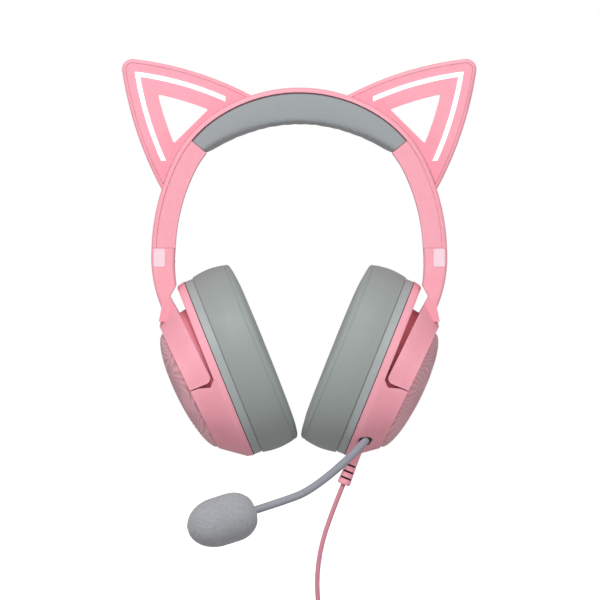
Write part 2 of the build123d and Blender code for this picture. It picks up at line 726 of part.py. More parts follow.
with BuildPart() as cup_screws:
    with BuildSketch(baffle_plane.offset(-BAFFLE_T + SCREW_HEAD_H + 0.2)):
        with Locations(*post_places):
            Circle(SCREW_R)
    extrude(amount=BAFFLE_T + SCREW_R * 7)
    with BuildSketch(baffle_plane.offset(-BAFFLE_T + 0.2)):
        with Locations(*post_places):
            Circle(SCREW_HEAD_R)
    extrude(amount=SCREW_HEAD_H)
save_pair(cup_screws.part, "cup_screws")

with BuildPart() as driver:
    with BuildSketch(baffle_plane.offset(-BAFFLE_T + 1.6)):
        Circle(DRIVER_R)
    extrude(amount=2.0)
    with BuildSketch(baffle_plane.offset(-BAFFLE_T + 3.6)):
        Circle(DRIVER_R - 3)
    extrude(amount=DRIVER_T - 4, taper=20)
    with BuildSketch(baffle_plane.offset(-BAFFLE_T + DRIVER_T - 0.4)):
        Circle(MAGNET_R)
    extrude(amount=2.0)
save_pair(driver.part, "driver")

with BuildPart() as driver_mesh:
    with BuildSketch(baffle_plane.offset(-BAFFLE_T)):
        Ellipse(CUSHION_HOLE_HALF_D - MESH_GAP, CUSHION_HOLE_HALF_H - MESH_GAP)
    extrude(amount=-MESH_T)
save_pair(driver_mesh.part, "driver_mesh")

outward_axis = Axis(cup_plane.origin, cup_plane.z_dir)
with BuildPart() as cushion:
    with BuildSketch(baffle_plane.offset(-BAFFLE_T - PAD_GAP)):
        Ellipse(CUP_HALF_D + CUSHION_OVER, CUP_HALF_H + CUSHION_OVER)
        Ellipse(CUSHION_HOLE_HALF_D, CUSHION_HOLE_HALF_H, mode=Mode.SUBTRACT)
    extrude(amount=-CUSHION_T)
    for place, edge_r in ((-1, CUSHION_EDGE_R), (0, CUSHION_INNER_R)):
        head_face = cushion.faces().filter_by(GeomType.PLANE).sort_by(outward_axis)[0]
        fillet(head_face.edges().sort_by(SortBy.LENGTH)[place], radius=edge_r)
save_pair(cushion.part, "ear_cushion")

# ==== Yoke and slider ====


def on_side(u, w):
    """A point of the cup's side view, in the front view's own x and y."""
    place = side_plane.from_local_coords((w, u, 0))
    return (place.X, place.Z)


stem_top = BAND_END_Z - JOIN_GAP
stem_out = end_x(0)
stem_in = end_x(BAND_T)
neck = on_side(NECK_U, NECK_W)
stem_middle = ((stem_out + neck[0]) / 2 + STEM_BOW_OUT, (stem_top + neck[1]) / 2)
lip = on_side(STEM_LIP_U, STEM_LIP_W)
inner_middle = ((lip[0] + stem_in) / 2 + STEM_BOW_IN, (lip[1] + stem_top) / 2)
arm_inner_w = PIVOT_W - ARM_END
with BuildPart() as yoke_outline:
    with BuildSketch(Plane.XZ) as outline:
        with BuildLine():
            Line((stem_in, stem_top), (stem_out, stem_top))
            ThreePointArc((stem_out, stem_top), stem_middle, neck)
            Polyline(
                neck,
                on_side(BUMP_U, BUMP_W),
                on_side(PIVOT_U - ARM_END, FACE_W + 8),
                on_side(PIVOT_U - ARM_END, arm_inner_w),
                on_side(ARM_SHOULDER_U, ARM_SHOULDER_W),
                on_side(CROTCH_U, CROTCH_W),
                lip,
            )
            ThreePointArc(lip, inner_middle, (stem_in, stem_top))
        make_face()
        arm_corner = Vector(*on_side(PIVOT_U - ARM_END, arm_inner_w))
        fillet(outline.vertices().sort_by_distance(arm_corner)[0], ARM_CORNER_R)
    extrude(amount=CUP_HALF_D, both=True)

with BuildPart() as yoke_ring:
    add(outer_solid)
    add(core_form(YOKE_CLEAR, extra=30), mode=Mode.SUBTRACT)

with BuildPart() as strip_slot:
    with BuildSketch(strip_plane.offset(-STRIP_T / 2)):
        with Locations((0, -STRIP_DOWN / 2)):
            Rectangle(2 * STRIP_HALF, STRIP_DOWN)
    extrude(amount=STRIP_T)

strip_screw_places = [(STRIP_HALF / 2, -STRIP_DOWN / 2 - 1), (-STRIP_HALF / 2, -STRIP_DOWN / 2 - 1)]
marker_x = stem_out - MARKER_EDGE - MARKER_W / 2
with BuildPart() as marker:
    with BuildSketch(Plane.XZ.offset(BAND_HALF_END + MARKER_PROUD)):
        with Locations((marker_x, stem_top - MARKER_H / 2 - 0.3)):
            RectangleRounded(MARKER_W, MARKER_H, 1.0)
    extrude(amount=-MARKER_T)

with BuildPart() as yoke:
    with BuildSketch(Plane.YZ):
        with Locations((0, stem_top)):
            stem_length = stem_top - CUP_Z - CUP_HALF_H / 2
            Rectangle(2 * BAND_HALF_END, stem_length, align=(Align.CENTER, Align.MAX))
    extrude(amount=2 * CUP_HALF_H)
    add(core_form(YOKE_CLEAR, extra=30), mode=Mode.SUBTRACT)
    add(yoke_ring.part)
    add(yoke_outline.part, mode=Mode.INTERSECT)
    stem_edges = yoke.edges().filter_by(
        lambda edge: abs(abs((edge @ 0.5).Y) - BAND_HALF_END) < 0.01 and edge.length > 15
    )
    fillet(stem_edges, radius=BAND_EDGE_R)
    add(strip_slot.part, mode=Mode.SUBTRACT)
    add(marker.part, mode=Mode.SUBTRACT)
    with BuildSketch(side_plane):
        with Locations((PIVOT_W, PIVOT_U)):
            Circle(PIVOT_R)
    extrude(amount=CUP_HALF_D - FACE_SHRINK_D, both=True, mode=Mode.SUBTRACT)
    with BuildSketch(strip_plane.offset(STRIP_T)):
        with Locations(*strip_screw_places):
            Circle(SCREW_R)
    extrude(amount=-BAND_T, mode=Mode.SUBTRACT)
save_pair(yoke.part, "yoke")
save_pair(marker.part, "side_marker")

with BuildPart() as strip:
    with BuildSketch(strip_plane.offset(-STRIP_T / 2)):
        with Locations((0, (STRIP_UP - STRIP_DOWN) / 2)):
            RectangleRounded(2 * STRIP_HALF, STRIP_UP + STRIP_DOWN, 1.5)
        with Locations((0, -STRIP_DOWN)):
            Rectangle(2 * STRIP_HALF, 4, align=(Align.CENTER, Align.MIN))
        with Locations(*[(0, STRIP_UP - 5 - step * NOTCH_PITCH) for step in range(NOTCHES)]):
            Circle(NOTCH_R, mode=Mode.SUBTRACT)
        with Locations(*strip_screw_places):
            Circle(SCREW_R + JOIN_GAP / 2, mode=Mode.SUBTRACT)
    extrude(amount=STRIP_T)
save_pair(strip.part, "slider_strip")

stem_face_depth = BAND_T - STRIP_DEPTH
with BuildPart() as strip_screws:
    with BuildSketch(strip_plane.offset(STRIP_T)):
        with Locations(*strip_screw_places):
            Circle(SCREW_R)
    extrude(amount=-STRIP_T - stem_face_depth - 0.4)
save_pair(strip_screws.part, "slider_screws")

pin_start = CUP_HALF_D - FACE_SHRINK_D - PIVOT_LENGTH
with BuildPart() as pins:
    for side in (1, -1):
        with BuildSketch(side_plane.offset(side * pin_start)):
            with Locations((PIVOT_W, PIVOT_U)):
                Circle(PIVOT_R)
        extrude(amount=side * PIVOT_LENGTH)
save_pair(pins.part, "pivot_pins")

# ==== Wearer's left cup: controls, microphone socket and strain relief ====


def on_taper(angle, level):
    """A point on the cup's tapered wall and the wall's outward normal there, in the cup's v, u and w."""
    turn = radians(angle)
    rim = Vector((CUP_HALF_D - RIM_DRAFT) * cos(turn), -(CUP_HALF_H - RIM_DRAFT) * sin(turn), RIM_W)
    face_d = (CUP_HALF_D - FACE_SHRINK_D) * cos(turn)
    face_u = -FACE_DROP - (CUP_HALF_H - FACE_SHRINK_H) * sin(turn)
    face = Vector(face_d, face_u, FACE_W + face_u * tan(radians(FACE_TILT)))
    place = rim + (face - rim) * level
    around = Vector(-CUP_HALF_D * sin(turn), -CUP_HALF_H * cos(turn), 0)
    normal = (face - rim).cross(around).normalized()
    if normal.dot(Vector(cos(turn), -sin(turn), 0)) < 0:
        normal = -normal
    return place, normal


def cup_vector(local):
    """A direction of the cup's frame, in the row's frame."""
    return cup_plane.from_local_coords(local) - cup_plane.origin


wheel_level = (WHEEL_W - RIM_W) / (FACE_W - RIM_W)
wheel_place, wheel_normal = on_taper(WHEEL_ANGLE, wheel_level)
inward = Vector(wheel_normal.X, wheel_normal.Y, 0).normalized() * (WHEEL_R - WHEEL_PROUD)
wheel_v = wheel_place.X - inward.X
wheel_u = wheel_place.Y - inward.Y
wheel_plane = cup_plane.offset(WHEEL_W - WHEEL_T / 2)
with BuildPart() as wheel:
    with BuildSketch(wheel_plane):
        with Locations((wheel_v, wheel_u)):
            Circle(WHEEL_R - 0.4)
            with PolarLocations(WHEEL_R - 0.4, 24):
                Circle(0.4)
            Circle(WHEEL_POST_R + RUN_FIT, mode=Mode.SUBTRACT)
    extrude(amount=WHEEL_T)
save(wheel.part, "volume_wheel")

board_half_d = CUP_HALF_D - BOARD_INSET_D
board_half_h = CUP_HALF_H - BOARD_INSET_H
with BuildPart() as main_board:
    with BuildSketch(cup_plane.offset(BOARD_W)):
        Ellipse(board_half_d, board_half_h)
        with Locations(BOARD_CORNER):
            Rectangle(CUP_HALF_D, CUP_HALF_D, align=(Align.MIN, Align.MAX), mode=Mode.INTERSECT)
        with Locations(*post_places):
            Circle(POST_R + JOIN_GAP, mode=Mode.SUBTRACT)
    extrude(amount=MAIN_BOARD_T)
    with BuildSketch(cup_plane.offset(BOARD_W)):
        with Locations((wheel_v, wheel_u)):
            Circle(WHEEL_POST_R)
    extrude(amount=WHEEL_W + WHEEL_T / 2 + 0.6 - BOARD_W)
save(main_board.part, "main_board")

button_place, button_normal = on_taper(BUTTON_ANGLE, BUTTON_LEVEL)
button_out = cup_vector(button_normal)
button_plane = Plane(origin=cup_plane.from_local_coords(button_place), z_dir=button_out)
with BuildPart() as button:
    with BuildSketch(button_plane.offset(BUTTON_PROUD)):
        Circle(BUTTON_R)
    extrude(amount=-BUTTON_PROUD - CUP_WALL - BUTTON_FLANGE_GAP - BUTTON_FLANGE_T)
    with BuildSketch(button_plane.offset(-CUP_WALL - BUTTON_FLANGE_GAP)):
        Circle(BUTTON_R + BUTTON_FLANGE)
    extrude(amount=-BUTTON_FLANGE_T)
    cap = button.faces().sort_by(Axis(button_plane.origin, button_out))[-1]
    fillet(cap.edges(), radius=BUTTON_EDGE_R)
save(button.part, "mute_button")

socket_place, socket_normal = on_taper(180 - SOCKET_ANGLE, SOCKET_LEVEL)
socket_point = cup_plane.from_local_coords(socket_place)
first_bend = Vector(*BOOM_ROUTE[0])
socket_way = (first_bend - socket_point).normalized()
socket_plane = Plane(origin=socket_point, z_dir=socket_way)
with BuildPart() as socket:
    with BuildSketch(socket_plane.offset(SOCKET_PROUD)):
        Circle(SOCKET_R)
    extrude(amount=-SOCKET_DEPTH)
    with BuildSketch(socket_plane.offset(SOCKET_DEPTH)):
        Circle(SOCKET_R - SOCKET_WALL)
    extrude(amount=-SOCKET_DEPTH - SOCKET_DEPTH / 2, mode=Mode.SUBTRACT)
    with BuildSketch(socket_plane):
        Circle(BOOM_R)
    extrude(amount=-SOCKET_DEPTH, mode=Mode.SUBTRACT)
save(socket.part, "mic_socket")

relief_down = cup_vector(Vector(0, -1, 0))
relief_start = cup_plane.from_local_coords((0, -CUP_HALF_H, RELIEF_W))
relief_plane = Plane(origin=relief_start, x_dir=(0, 1, 0), z_dir=relief_down)
with BuildPart() as relief:
    with BuildSketch(relief_plane.offset(-RELIEF_IN)):
        Circle(RELIEF_R)
    with BuildSketch(relief_plane):
        Circle(RELIEF_R)
    with BuildSketch(relief_plane.offset(RELIEF_OUT)):
        Circle(RELIEF_TIP_R)
    loft(ruled=True)
    fillet(relief.faces().sort_by(Axis(relief_start, relief_down))[-1].edges(), radius=0.8)
    with BuildSketch(relief_plane.offset(-RELIEF_IN)):
        Circle(RELIEF_FLANGE_R)
    extrude(amount=-1.5)
    for step in range(RELIEF_SLOTS):
        with BuildSketch(relief_plane.offset(RELIEF_FIRST_SLOT + step * RELIEF_PITCH)):
            for side in (1, -1):
                with Locations((side * RELIEF_TIP_R, 0)):
                    reach = RELIEF_TIP_R - CORD_D / 2 - RELIEF_CORE
                    Rectangle(2 * reach, 3 * RELIEF_TIP_R)
        extrude(amount=RELIEF_SLOT_T, mode=Mode.SUBTRACT)
    with BuildSketch(relief_plane.offset(-2 * RELIEF_IN)):
        Circle(CORD_D / 2)
    extrude(amount=RELIEF_OUT + 3 * RELIEF_IN, mode=Mode.SUBTRACT)
save(relief.part, "strain_relief")

with BuildPart() as left_shell:
    add(plain_shell)
    with BuildSketch(wheel_plane.offset(-SLIDE_FIT)):
        with Locations((wheel_v, wheel_u)):
            Circle(WHEEL_R + 2 * SLIDE_FIT)
    extrude(amount=WHEEL_T + 2 * SLIDE_FIT, mode=Mode.SUBTRACT)
    with BuildSketch(button_plane.offset(-2 * CUP_WALL)):
        Circle(BUTTON_R + SLIDE_FIT)
    extrude(amount=4 * CUP_WALL, mode=Mode.SUBTRACT)
    with BuildSketch(socket_plane.offset(-SOCKET_DEPTH)):
        Circle(SOCKET_R)
    extrude(amount=2 * SOCKET_DEPTH, mode=Mode.SUBTRACT)
    with BuildSketch(relief_plane.offset(-RELIEF_IN)):
        Circle(RELIEF_R)
    extrude(amount=2 * RELIEF_IN, mode=Mode.SUBTRACT)
save(left_shell.part, "cup_shell_left")
with BuildPart() as right_shell:
    mirror(plain_shell, about=Plane.YZ)
save(right_shell.part, "cup_shell_right")

# ==== Microphone boom ====


def route_radii(points):
    """The largest arc that each corner's two runs allow."""
    radii = []
    for before, corner, after in zip(points, points[1:], points[2:]):
        one = corner - before
        two = after - corner
        radii.append(0.45 * min(one.length, two.length) / tan(radians(one.get_angle(two) / 2)))
    return radii


boom_points = [socket_point - socket_way * 4] + [Vector(*point) for point in BOOM_ROUTE]
with BuildLine() as boom_path:
    FilletPolyline(*boom_points, radius=route_radii(boom_points))
with BuildPart() as whole_boom:
    with BuildSketch(Plane(origin=boom_points[0], z_dir=socket_way)):
        Circle(BOOM_R)
    sweep(path=boom_path.line)

lower_joint = boom_points[1] + (boom_points[2] - boom_points[1]) * BOOM_SPLITS[0]
lower_way = (boom_points[2] - boom_points[1]).normalized()
upper_joint = boom_points[3] + (boom_points[4] - boom_points[3]) * BOOM_SPLITS[1]
boom_way = (boom_points[4] - boom_points[3]).normalized()
lower_cut = Plane(origin=lower_joint, z_dir=lower_way)
upper_cut = Plane(origin=upper_joint, z_dir=boom_way)

with BuildPart() as boom_lower:
    add(whole_boom.part)
    split(bisect_by=lower_cut.offset(-BOOM_JOINT_BACK), keep=Keep.BOTTOM)
    with Locations(lower_cut):
        Sphere(BOOM_R + BOOM_JOINT_GAP, mode=Mode.SUBTRACT)
save(boom_lower.part, "boom_lower")

with BuildPart() as boom_middle:
    add(whole_boom.part)
    split(bisect_by=lower_cut, keep=Keep.TOP)
    with Locations(lower_cut):
        Sphere(BOOM_R)
    split(bisect_by=upper_cut.offset(-BOOM_JOINT_BACK), keep=Keep.BOTTOM)
    with Locations(upper_cut):
        Sphere(BOOM_R + BOOM_JOINT_GAP, mode=Mode.SUBTRACT)
save(boom_middle.part, "boom_middle")

with BuildPart() as boom_upper:
    add(whole_boom.part)
    split(bisect_by=upper_cut, keep=Keep.TOP)
    split(bisect_by=Plane(origin=boom_points[4], z_dir=boom_way).offset(-COLLAR_OUT), keep=Keep.BOTTOM)
    with Locations(upper_cut):
        Sphere(BOOM_R)
save(boom_upper.part, "boom_upper")

mic_plane = Plane(origin=boom_points[4], z_dir=boom_way)
with BuildPart() as housing:
    with BuildSketch(mic_plane.offset(-COLLAR_OUT)):
        Circle(COLLAR_R)
    extrude(amount=COLLAR_LENGTH + COLLAR_OUT)
    with BuildSketch(mic_plane.offset(COLLAR_LENGTH)):
        Circle(HOUSING_R)
    extrude(amount=HOUSING_LENGTH - COLLAR_LENGTH)
    fillet(housing.faces().sort_by(Axis(mic_plane.origin, boom_way))[-1].edges(), radius=1.2)
    with BuildSketch(mic_plane.offset(HOUSING_LENGTH - CAPSULE_T)):
        Circle(CAPSULE_R)
    extrude(amount=2 * CAPSULE_T, mode=Mode.SUBTRACT)
save(housing.part, "mic_housing")

with BuildPart() as capsule:
    with BuildSketch(mic_plane.offset(HOUSING_LENGTH - CAPSULE_T)):
        Circle(CAPSULE_R)
    extrude(amount=CAPSULE_T - 0.3)
save(capsule.part, "mic_capsule")

with BuildPart() as foam:
    with BuildSketch(Plane(origin=boom_points[4], x_dir=boom_way, z_dir=boom_way.cross(Vector(0, 0, 1)))):
        with Locations((FOAM_NEAR, 0)):
            Ellipse(FOAM_NEAR_SPAN, FOAM_R)
        with Locations((FOAM_LENGTH - FOAM_FAR_SPAN, 0)):
            Ellipse(FOAM_FAR_SPAN, FOAM_R)
        with Locations((FOAM_NEAR, 0)):
            Rectangle(FOAM_LENGTH - FOAM_FAR_SPAN - FOAM_NEAR, 2 * FOAM_R, align=(Align.MIN, Align.CENTER))
        Rectangle(2 * FOAM_LENGTH, FOAM_LENGTH, align=(Align.MIN, Align.MIN), mode=Mode.INTERSECT)
    revolve(axis=Axis(boom_points[4], boom_way))
    with BuildSketch(mic_plane):
        Circle(HOUSING_R + PAD_GAP)
    extrude(amount=HOUSING_LENGTH + PAD_GAP, mode=Mode.SUBTRACT)
save(foam.part, "windscreen")

# ==== Cord: out of the strain relief, down to a tied coil, and on to the plug ====
cord_exit = relief_start + relief_down * RELIEF_OUT
coil_side = CORD_ROUTE[-1][0]
coil_y = CORD_ROUTE[-1][1]
coil_centre = Vector(coil_side - COIL_R, coil_y, COIL_Z)
coil_reach = sqrt((COIL_R + COIL_SECTION_R) ** 2 - COIL_R**2) - 1
tube_end = (coil_side + 0.25, coil_y, COIL_Z + coil_reach)
cord_points = [cord_exit] + [Vector(*point) for point in CORD_ROUTE] + [Vector(*tube_end)]
cord_radii = route_radii(cord_points)
print("cord radii", [round(radius, 1) for radius in cord_radii])
with BuildLine() as cord_path:
    FilletPolyline(*cord_points, radius=cord_radii)
tail_top = coil_centre + Vector(COIL_R, 0, -coil_reach)
tail_end = coil_centre + Vector(COIL_R, 0, -TAIL)
with BuildPart() as cord:
    with BuildSketch(Plane(origin=cord_exit, z_dir=cord_points[1] - cord_exit)):
        Circle(CORD_D / 2)
    sweep(path=cord_path.line)
    tube_volume = cord.part.volume
    with BuildSketch(Plane.XY.offset(tail_end.Z)):
        with Locations((tail_end.X, tail_end.Y)):
            Circle(CORD_D / 2)
    extrude(amount=tail_top.Z - tail_end.Z)
tube_length = sum(edge.length for edge in cord_path.line.edges())
section = pi * CORD_D**2 / 4
print("cord tube", round(tube_volume, 1), "section times length", round(section * tube_length, 1))
save(cord.part, "cord")

coil_plane = Plane(origin=coil_centre, x_dir=(1, 0, 0), z_dir=(0, -1, 0))
with BuildPart() as coil:
    with Locations(coil_plane):
        Torus(COIL_R, COIL_SECTION_R)
save(coil.part, "cord_coil")

with BuildPart() as tie:
    with BuildSketch(Plane(origin=coil_centre + Vector(0, 0, COIL_R), z_dir=(1, 0, 0))):
        Circle(COIL_SECTION_R + 0.9)
        Circle(COIL_SECTION_R + 0.15, mode=Mode.SUBTRACT)
    extrude(amount=TIE_W / 2, both=True)
    with Locations(coil_plane):
        Torus(COIL_R, COIL_SECTION_R + 0.1, mode=Mode.SUBTRACT)
save(tie.part, "coil_tie")

plug_plane = Plane(origin=tail_end, x_dir=(1, 0, 0), z_dir=(0, 0, -1))
with BuildPart() as plug:
    with BuildSketch(plug_plane):
        RectangleRounded(PLUG_W, PLUG_T, 2.4)
    extrude(amount=PLUG_L)
    fillet(plug.edges().filter_by(Axis.Z, reverse=True), radius=0.9)
save(plug.part, "plug_body")

with BuildPart() as plug_shell:
    with BuildSketch(plug_plane.offset(PLUG_L)):
        Rectangle(SHELL_W, SHELL_T)
    extrude(amount=SHELL_L)
    with BuildSketch(plug_plane.offset(PLUG_L)):
        Rectangle(SHELL_W - 2 * SHELL_WALL, SHELL_T - 2 * SHELL_WALL)
    extrude(amount=SHELL_L, mode=Mode.SUBTRACT)
    with BuildSketch(plug_plane.offset(PLUG_L)):
        with Locations((0, SHELL_T / 4)):
            Rectangle(SHELL_W - 2 * SHELL_WALL, SHELL_T / 2 - SHELL_WALL)
    extrude(amount=SHELL_L - 0.8)
save(plug_shell.part, "plug_shell")
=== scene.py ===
# %% [markdown]
# # A gaming headset with cat-ear lights
# The headset's hard parts come from its CAD model, already in place and in metres. This
# lesson gives each of them a finish, and builds the parts that CAD draws too plainly: the
# soft cushions, the foam windscreen, the bending boom, the ridged side plates and the cord.
# +Z is up, the wearer faces -Y, and the wearer's left side is at +X.

# %% Load the model
import math

import bmesh
import bpy
from mathutils import Matrix, Vector, noise


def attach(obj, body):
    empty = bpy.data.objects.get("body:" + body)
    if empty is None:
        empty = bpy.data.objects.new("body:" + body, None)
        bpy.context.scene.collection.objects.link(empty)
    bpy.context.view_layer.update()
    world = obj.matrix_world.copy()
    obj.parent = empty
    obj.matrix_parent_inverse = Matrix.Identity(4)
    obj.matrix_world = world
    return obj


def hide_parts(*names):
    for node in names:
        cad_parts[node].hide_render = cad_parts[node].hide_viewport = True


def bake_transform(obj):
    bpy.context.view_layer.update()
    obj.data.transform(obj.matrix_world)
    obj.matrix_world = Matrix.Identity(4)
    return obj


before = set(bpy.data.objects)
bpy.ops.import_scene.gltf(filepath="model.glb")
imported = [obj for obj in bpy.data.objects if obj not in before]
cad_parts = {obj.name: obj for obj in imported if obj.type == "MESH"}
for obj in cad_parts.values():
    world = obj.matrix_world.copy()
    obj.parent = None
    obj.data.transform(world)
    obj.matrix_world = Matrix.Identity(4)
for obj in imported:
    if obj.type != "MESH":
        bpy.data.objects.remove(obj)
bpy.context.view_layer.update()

scene = bpy.context.scene
MM = 0.001

# %% [markdown]
# ## Camera
# A long lens from far away keeps the two ear cups alike and the band's curve true, as a
# shop's catalogue does. A short lens close by would make the near microphone look large, so
# the camera stands six metres in front, level with the middle of the headset and its cord.

# %% Place the camera
CAMERA_DISTANCE = 6.0
VIEW_WIDTH = 0.321
VIEW_MIDDLE = (0.0004, -0.0944)  # across and up
camera_data = bpy.data.cameras.new("camera")
camera_data.lens = CAMERA_DISTANCE * camera_data.sensor_width / VIEW_WIDTH
camera = bpy.data.objects.new("camera", camera_data)
camera.location = (VIEW_MIDDLE[0], -CAMERA_DISTANCE, VIEW_MIDDLE[1])
camera.rotation_euler = (math.radians(90), 0, 0)
scene.collection.objects.link(camera)
scene.camera = camera
print(f"lens {camera_data.lens:.0f} mm")

# %% [markdown]
# ## Cord
# The cord leaves the strain relief, hangs down, and is put away in a tied coil with its
# plug below. One smooth spline carries all of it. The coil is wound as on a reel: the turns
# lie side by side in rows, and each new row lies on the last, so no turn cuts another.
# Real turns could also be simulated as a falling rope, but a wound coil is what a hand
# makes, and it stays tidy.

# %% Lay out the cord's route
CORD_D = 2.6 * MM
CORD_EXIT = (0.02358, 0.0, -0.19294)
CORD_ROUTE = [
    (0.0172, 0.0004, -0.2086),
    (0.0114, 0.0, -0.2264),
    (0.0092, -0.001, -0.244),
    (0.0104, -0.0014, -0.259),
]
COIL_CENTRE = Vector((-0.0082, -0.0014, -0.288))
COIL_R = 15.6 * MM
TURN_GAP = 2.65 * MM
ROW_TURNS = 5
TURNS = 19
POINTS_PER_TURN = 16


def reel_place(wound):
    """Where the cord lies in the coil's section after so many turns: across it, and out."""
    row, along = divmod(wound, ROW_TURNS)
    across = min(along, ROW_TURNS - 1)
    change = max(0.0, along - (ROW_TURNS - 1))
    bulge = 0.5 * math.sin(math.pi * change)
    out = row + 0.5 - 0.5 * math.cos(math.pi * change)
    side = 1 if row % 2 == 0 else -1
    middle = (ROW_TURNS - 1) / 2
    return side * (across - middle + bulge) * TURN_GAP, (1.5 - out) * TURN_GAP


coil_points = []
for step in range(TURNS * POINTS_PER_TURN):
    wound = step / POINTS_PER_TURN
    turn = -2 * math.pi * wound
    across, out = reel_place(wound)
    radius = COIL_R + out
    place = Vector((radius * math.cos(turn), across, radius * math.sin(turn)))
    coil_points.append(COIL_CENTRE + place)

TAIL = [(0.0052, -0.0105, -0.2905), (0.0070, -0.0098, -0.2995), (0.0074, -0.0040, -0.3070)]
TAIL_END = (0.0074, -0.0014, -0.3142)
cord_points = [CORD_EXIT, *CORD_ROUTE, *coil_points, *TAIL, TAIL_END]
print(len(cord_points), "points in the cord's route")


# %% Make the cord's spline
def smooth_line(name, points, thickness):
    """A round, closed-ended tube along one smooth spline."""
    curve = bpy.data.curves.new(name, "CURVE")
    curve.dimensions = "3D"
    curve.bevel_depth = 1.0
    curve.bevel_resolution = 3
    curve.resolution_u = 3
    curve.use_fill_caps = True
    spline = curve.splines.new("NURBS")
    spline.points.add(len(points) - 1)
    for point, place in zip(spline.points, points):
        point.co = (*place, 1.0)
        point.radius = thickness / 2
    spline.order_u = 3
    spline.use_endpoint_u = True
    made = bpy.data.objects.new(name, curve)
    scene.collection.objects.link(made)
    return made


cord = smooth_line("cord_line", cord_points, CORD_D)
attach(cord, "left_cup")
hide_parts("cord", "cord_coil")
print("cord made")

# %% [markdown]
# ## Stage and light
# The headset hangs over a wide round floor of white board, in a white room. Straight to the
# eye, both are pure white, so no horizon shows. They light the headset with less than that,
# so its undersides can turn darker. One broad light hangs in front and above, and weaker
# ones stand at the sides: many small lamps would give hard spots on matte plastic.


# %% Lay the floor and paint the room
def white_to_the_eye(tree, seen, lighting):
    """One strength for what the camera sees, another for the light that falls on things."""
    eye = tree.nodes.new("ShaderNodeLightPath").outputs["Is Camera Ray"]
    choice = tree.nodes.new("ShaderNodeMapRange")
    tree.links.new(eye, choice.inputs["Value"])
    choice.inputs["To Min"].default_value = lighting
    choice.inputs["To Max"].default_value = seen
    return choice.outputs[0]


FLOOR_Z = -0.36
floor_mesh = bmesh.new()
bmesh.ops.create_circle(floor_mesh, cap_ends=True, radius=12.0, segments=96,
                        matrix=Matrix.Translation((0, 0, FLOOR_Z)))
floor_data = bpy.data.meshes.new("floor")
floor_mesh.to_mesh(floor_data)
floor_mesh.free()
floor = bpy.data.objects.new("floor", floor_data)
scene.collection.objects.link(floor)
floor_paint = bpy.data.materials.new("floor_white")
floor_paint.use_nodes = True
tree = floor_paint.node_tree
board = tree.nodes["Principled BSDF"]
board.inputs["Base Color"].default_value = (0.55, 0.55, 0.55, 1)
board.inputs["Roughness"].default_value = 0.9
board.inputs["Emission Color"].default_value = (1, 1, 1, 1)
tree.links.new(white_to_the_eye(tree, 1.0, 0.0), board.inputs["Emission Strength"])
floor_data.materials.append(floor_paint)
world = bpy.data.worlds.new("studio")
world.use_nodes = True
tree = world.node_tree
tree.nodes["Background"].inputs["Color"].default_value = (1, 1, 1, 1)
tree.links.new(white_to_the_eye(tree, 1.0, 0.38), tree.nodes["Background"].inputs["Strength"])
scene.world = world
print("floor laid")


# %% Hang the lights
def soft_light(name, place, size, power):
    """A square soft box at a place, turned towards the headset."""
    lamp_data = bpy.data.lights.new(name, "AREA")
    lamp_data.size = size
    lamp_data.energy = power
    lamp = bpy.data.objects.new(name, lamp_data)
    lamp.location = place
    aim = Vector((0, 0, -0.1)) - Vector(place)
    lamp.rotation_euler = aim.to_track_quat("-Z", "Y").to_euler()
    scene.collection.objects.link(lamp)
    return lamp


# name, place, side in metres, power in watts
for light in (("key", (-0.35, -1.9, 1.5), 0.8, 36.0),
              ("fill_left", (-1.6, -1.2, 0.2), 0.8, 6.0),
              ("fill_right", (1.6, -1.2, 0.2), 0.8, 6.0)):
    soft_light(*light)
scene.view_settings.view_transform = "Standard"

# %% [markdown]
# ## Node helpers
# Materials here are built from nodes in code. Two small helpers keep that short: one adds
# a node and fills or links its inputs, the other makes a named group, which is an effect
# that several materials share, each with its own numbers.


# %% Helpers for nodes
def add(tree, kind, inputs=None, **settings):
    """Add a node; an input is a number or colour to set, or another node's output to link."""
    made = tree.nodes.new(kind)
    for name, value in settings.items():
        setattr(made, name, value)
    for socket, value in (inputs or {}).items():
        if isinstance(value, bpy.types.NodeSocket):
            tree.links.new(value, made.inputs[socket])
        else:
            made.inputs[socket].default_value = value
    return made


def maths(tree, operation, first, second=0.0):
    """The result of one sum."""
    return add(tree, "ShaderNodeMath", {0: first, 1: second}, operation=operation).outputs[0]


def new_group(name, inputs, outputs):
    """A shader node group with named inputs, as {name: (type, value)}, and named outputs."""
    tree = bpy.data.node_groups.new(name, "ShaderNodeTree")
    for label, (kind, value) in inputs.items():
        socket = tree.interface.new_socket(label, in_out="INPUT", socket_type="NodeSocket" + kind)
        if kind == "Float":
            socket.default_value = value
    for label, kind in outputs.items():
        tree.interface.new_socket(label, in_out="OUTPUT", socket_type="NodeSocket" + kind)
    start = tree.nodes.new("NodeGroupInput")
    end = tree.nodes.new("NodeGroupOutput")
    return tree, start.outputs, end.inputs


def place_group(tree, group, inputs):
    """Put a group into a material."""
    made = add(tree, "ShaderNodeGroup", node_tree=group)
    for socket, value in inputs.items():
        if isinstance(value, bpy.types.NodeSocket):
            tree.links.new(value, made.inputs[socket])
        else:
            made.inputs[socket].default_value = value
    return made.outputs


def paint(red, green, blue):
    """A colour as a paint chart gives it, 0 to 255, made linear for the renderer."""
    linear = [c / 12.92 if c <= 0.04045 else ((c + 0.055) / 1.055) ** 2.4
              for c in (red / 255, green / 255, blue / 255)]
    return (*linear, 1.0)


print("helpers ready")

# %% [markdown]
# ## Shared effects
# Moulded plastic is never glass-smooth: the steel mould is spark-eroded, which leaves a
# fine grain. Handling polishes its edges a little, and skin oil and dust change the gloss
# in soft patches. Each of these effects is one group, used by most of the materials below.

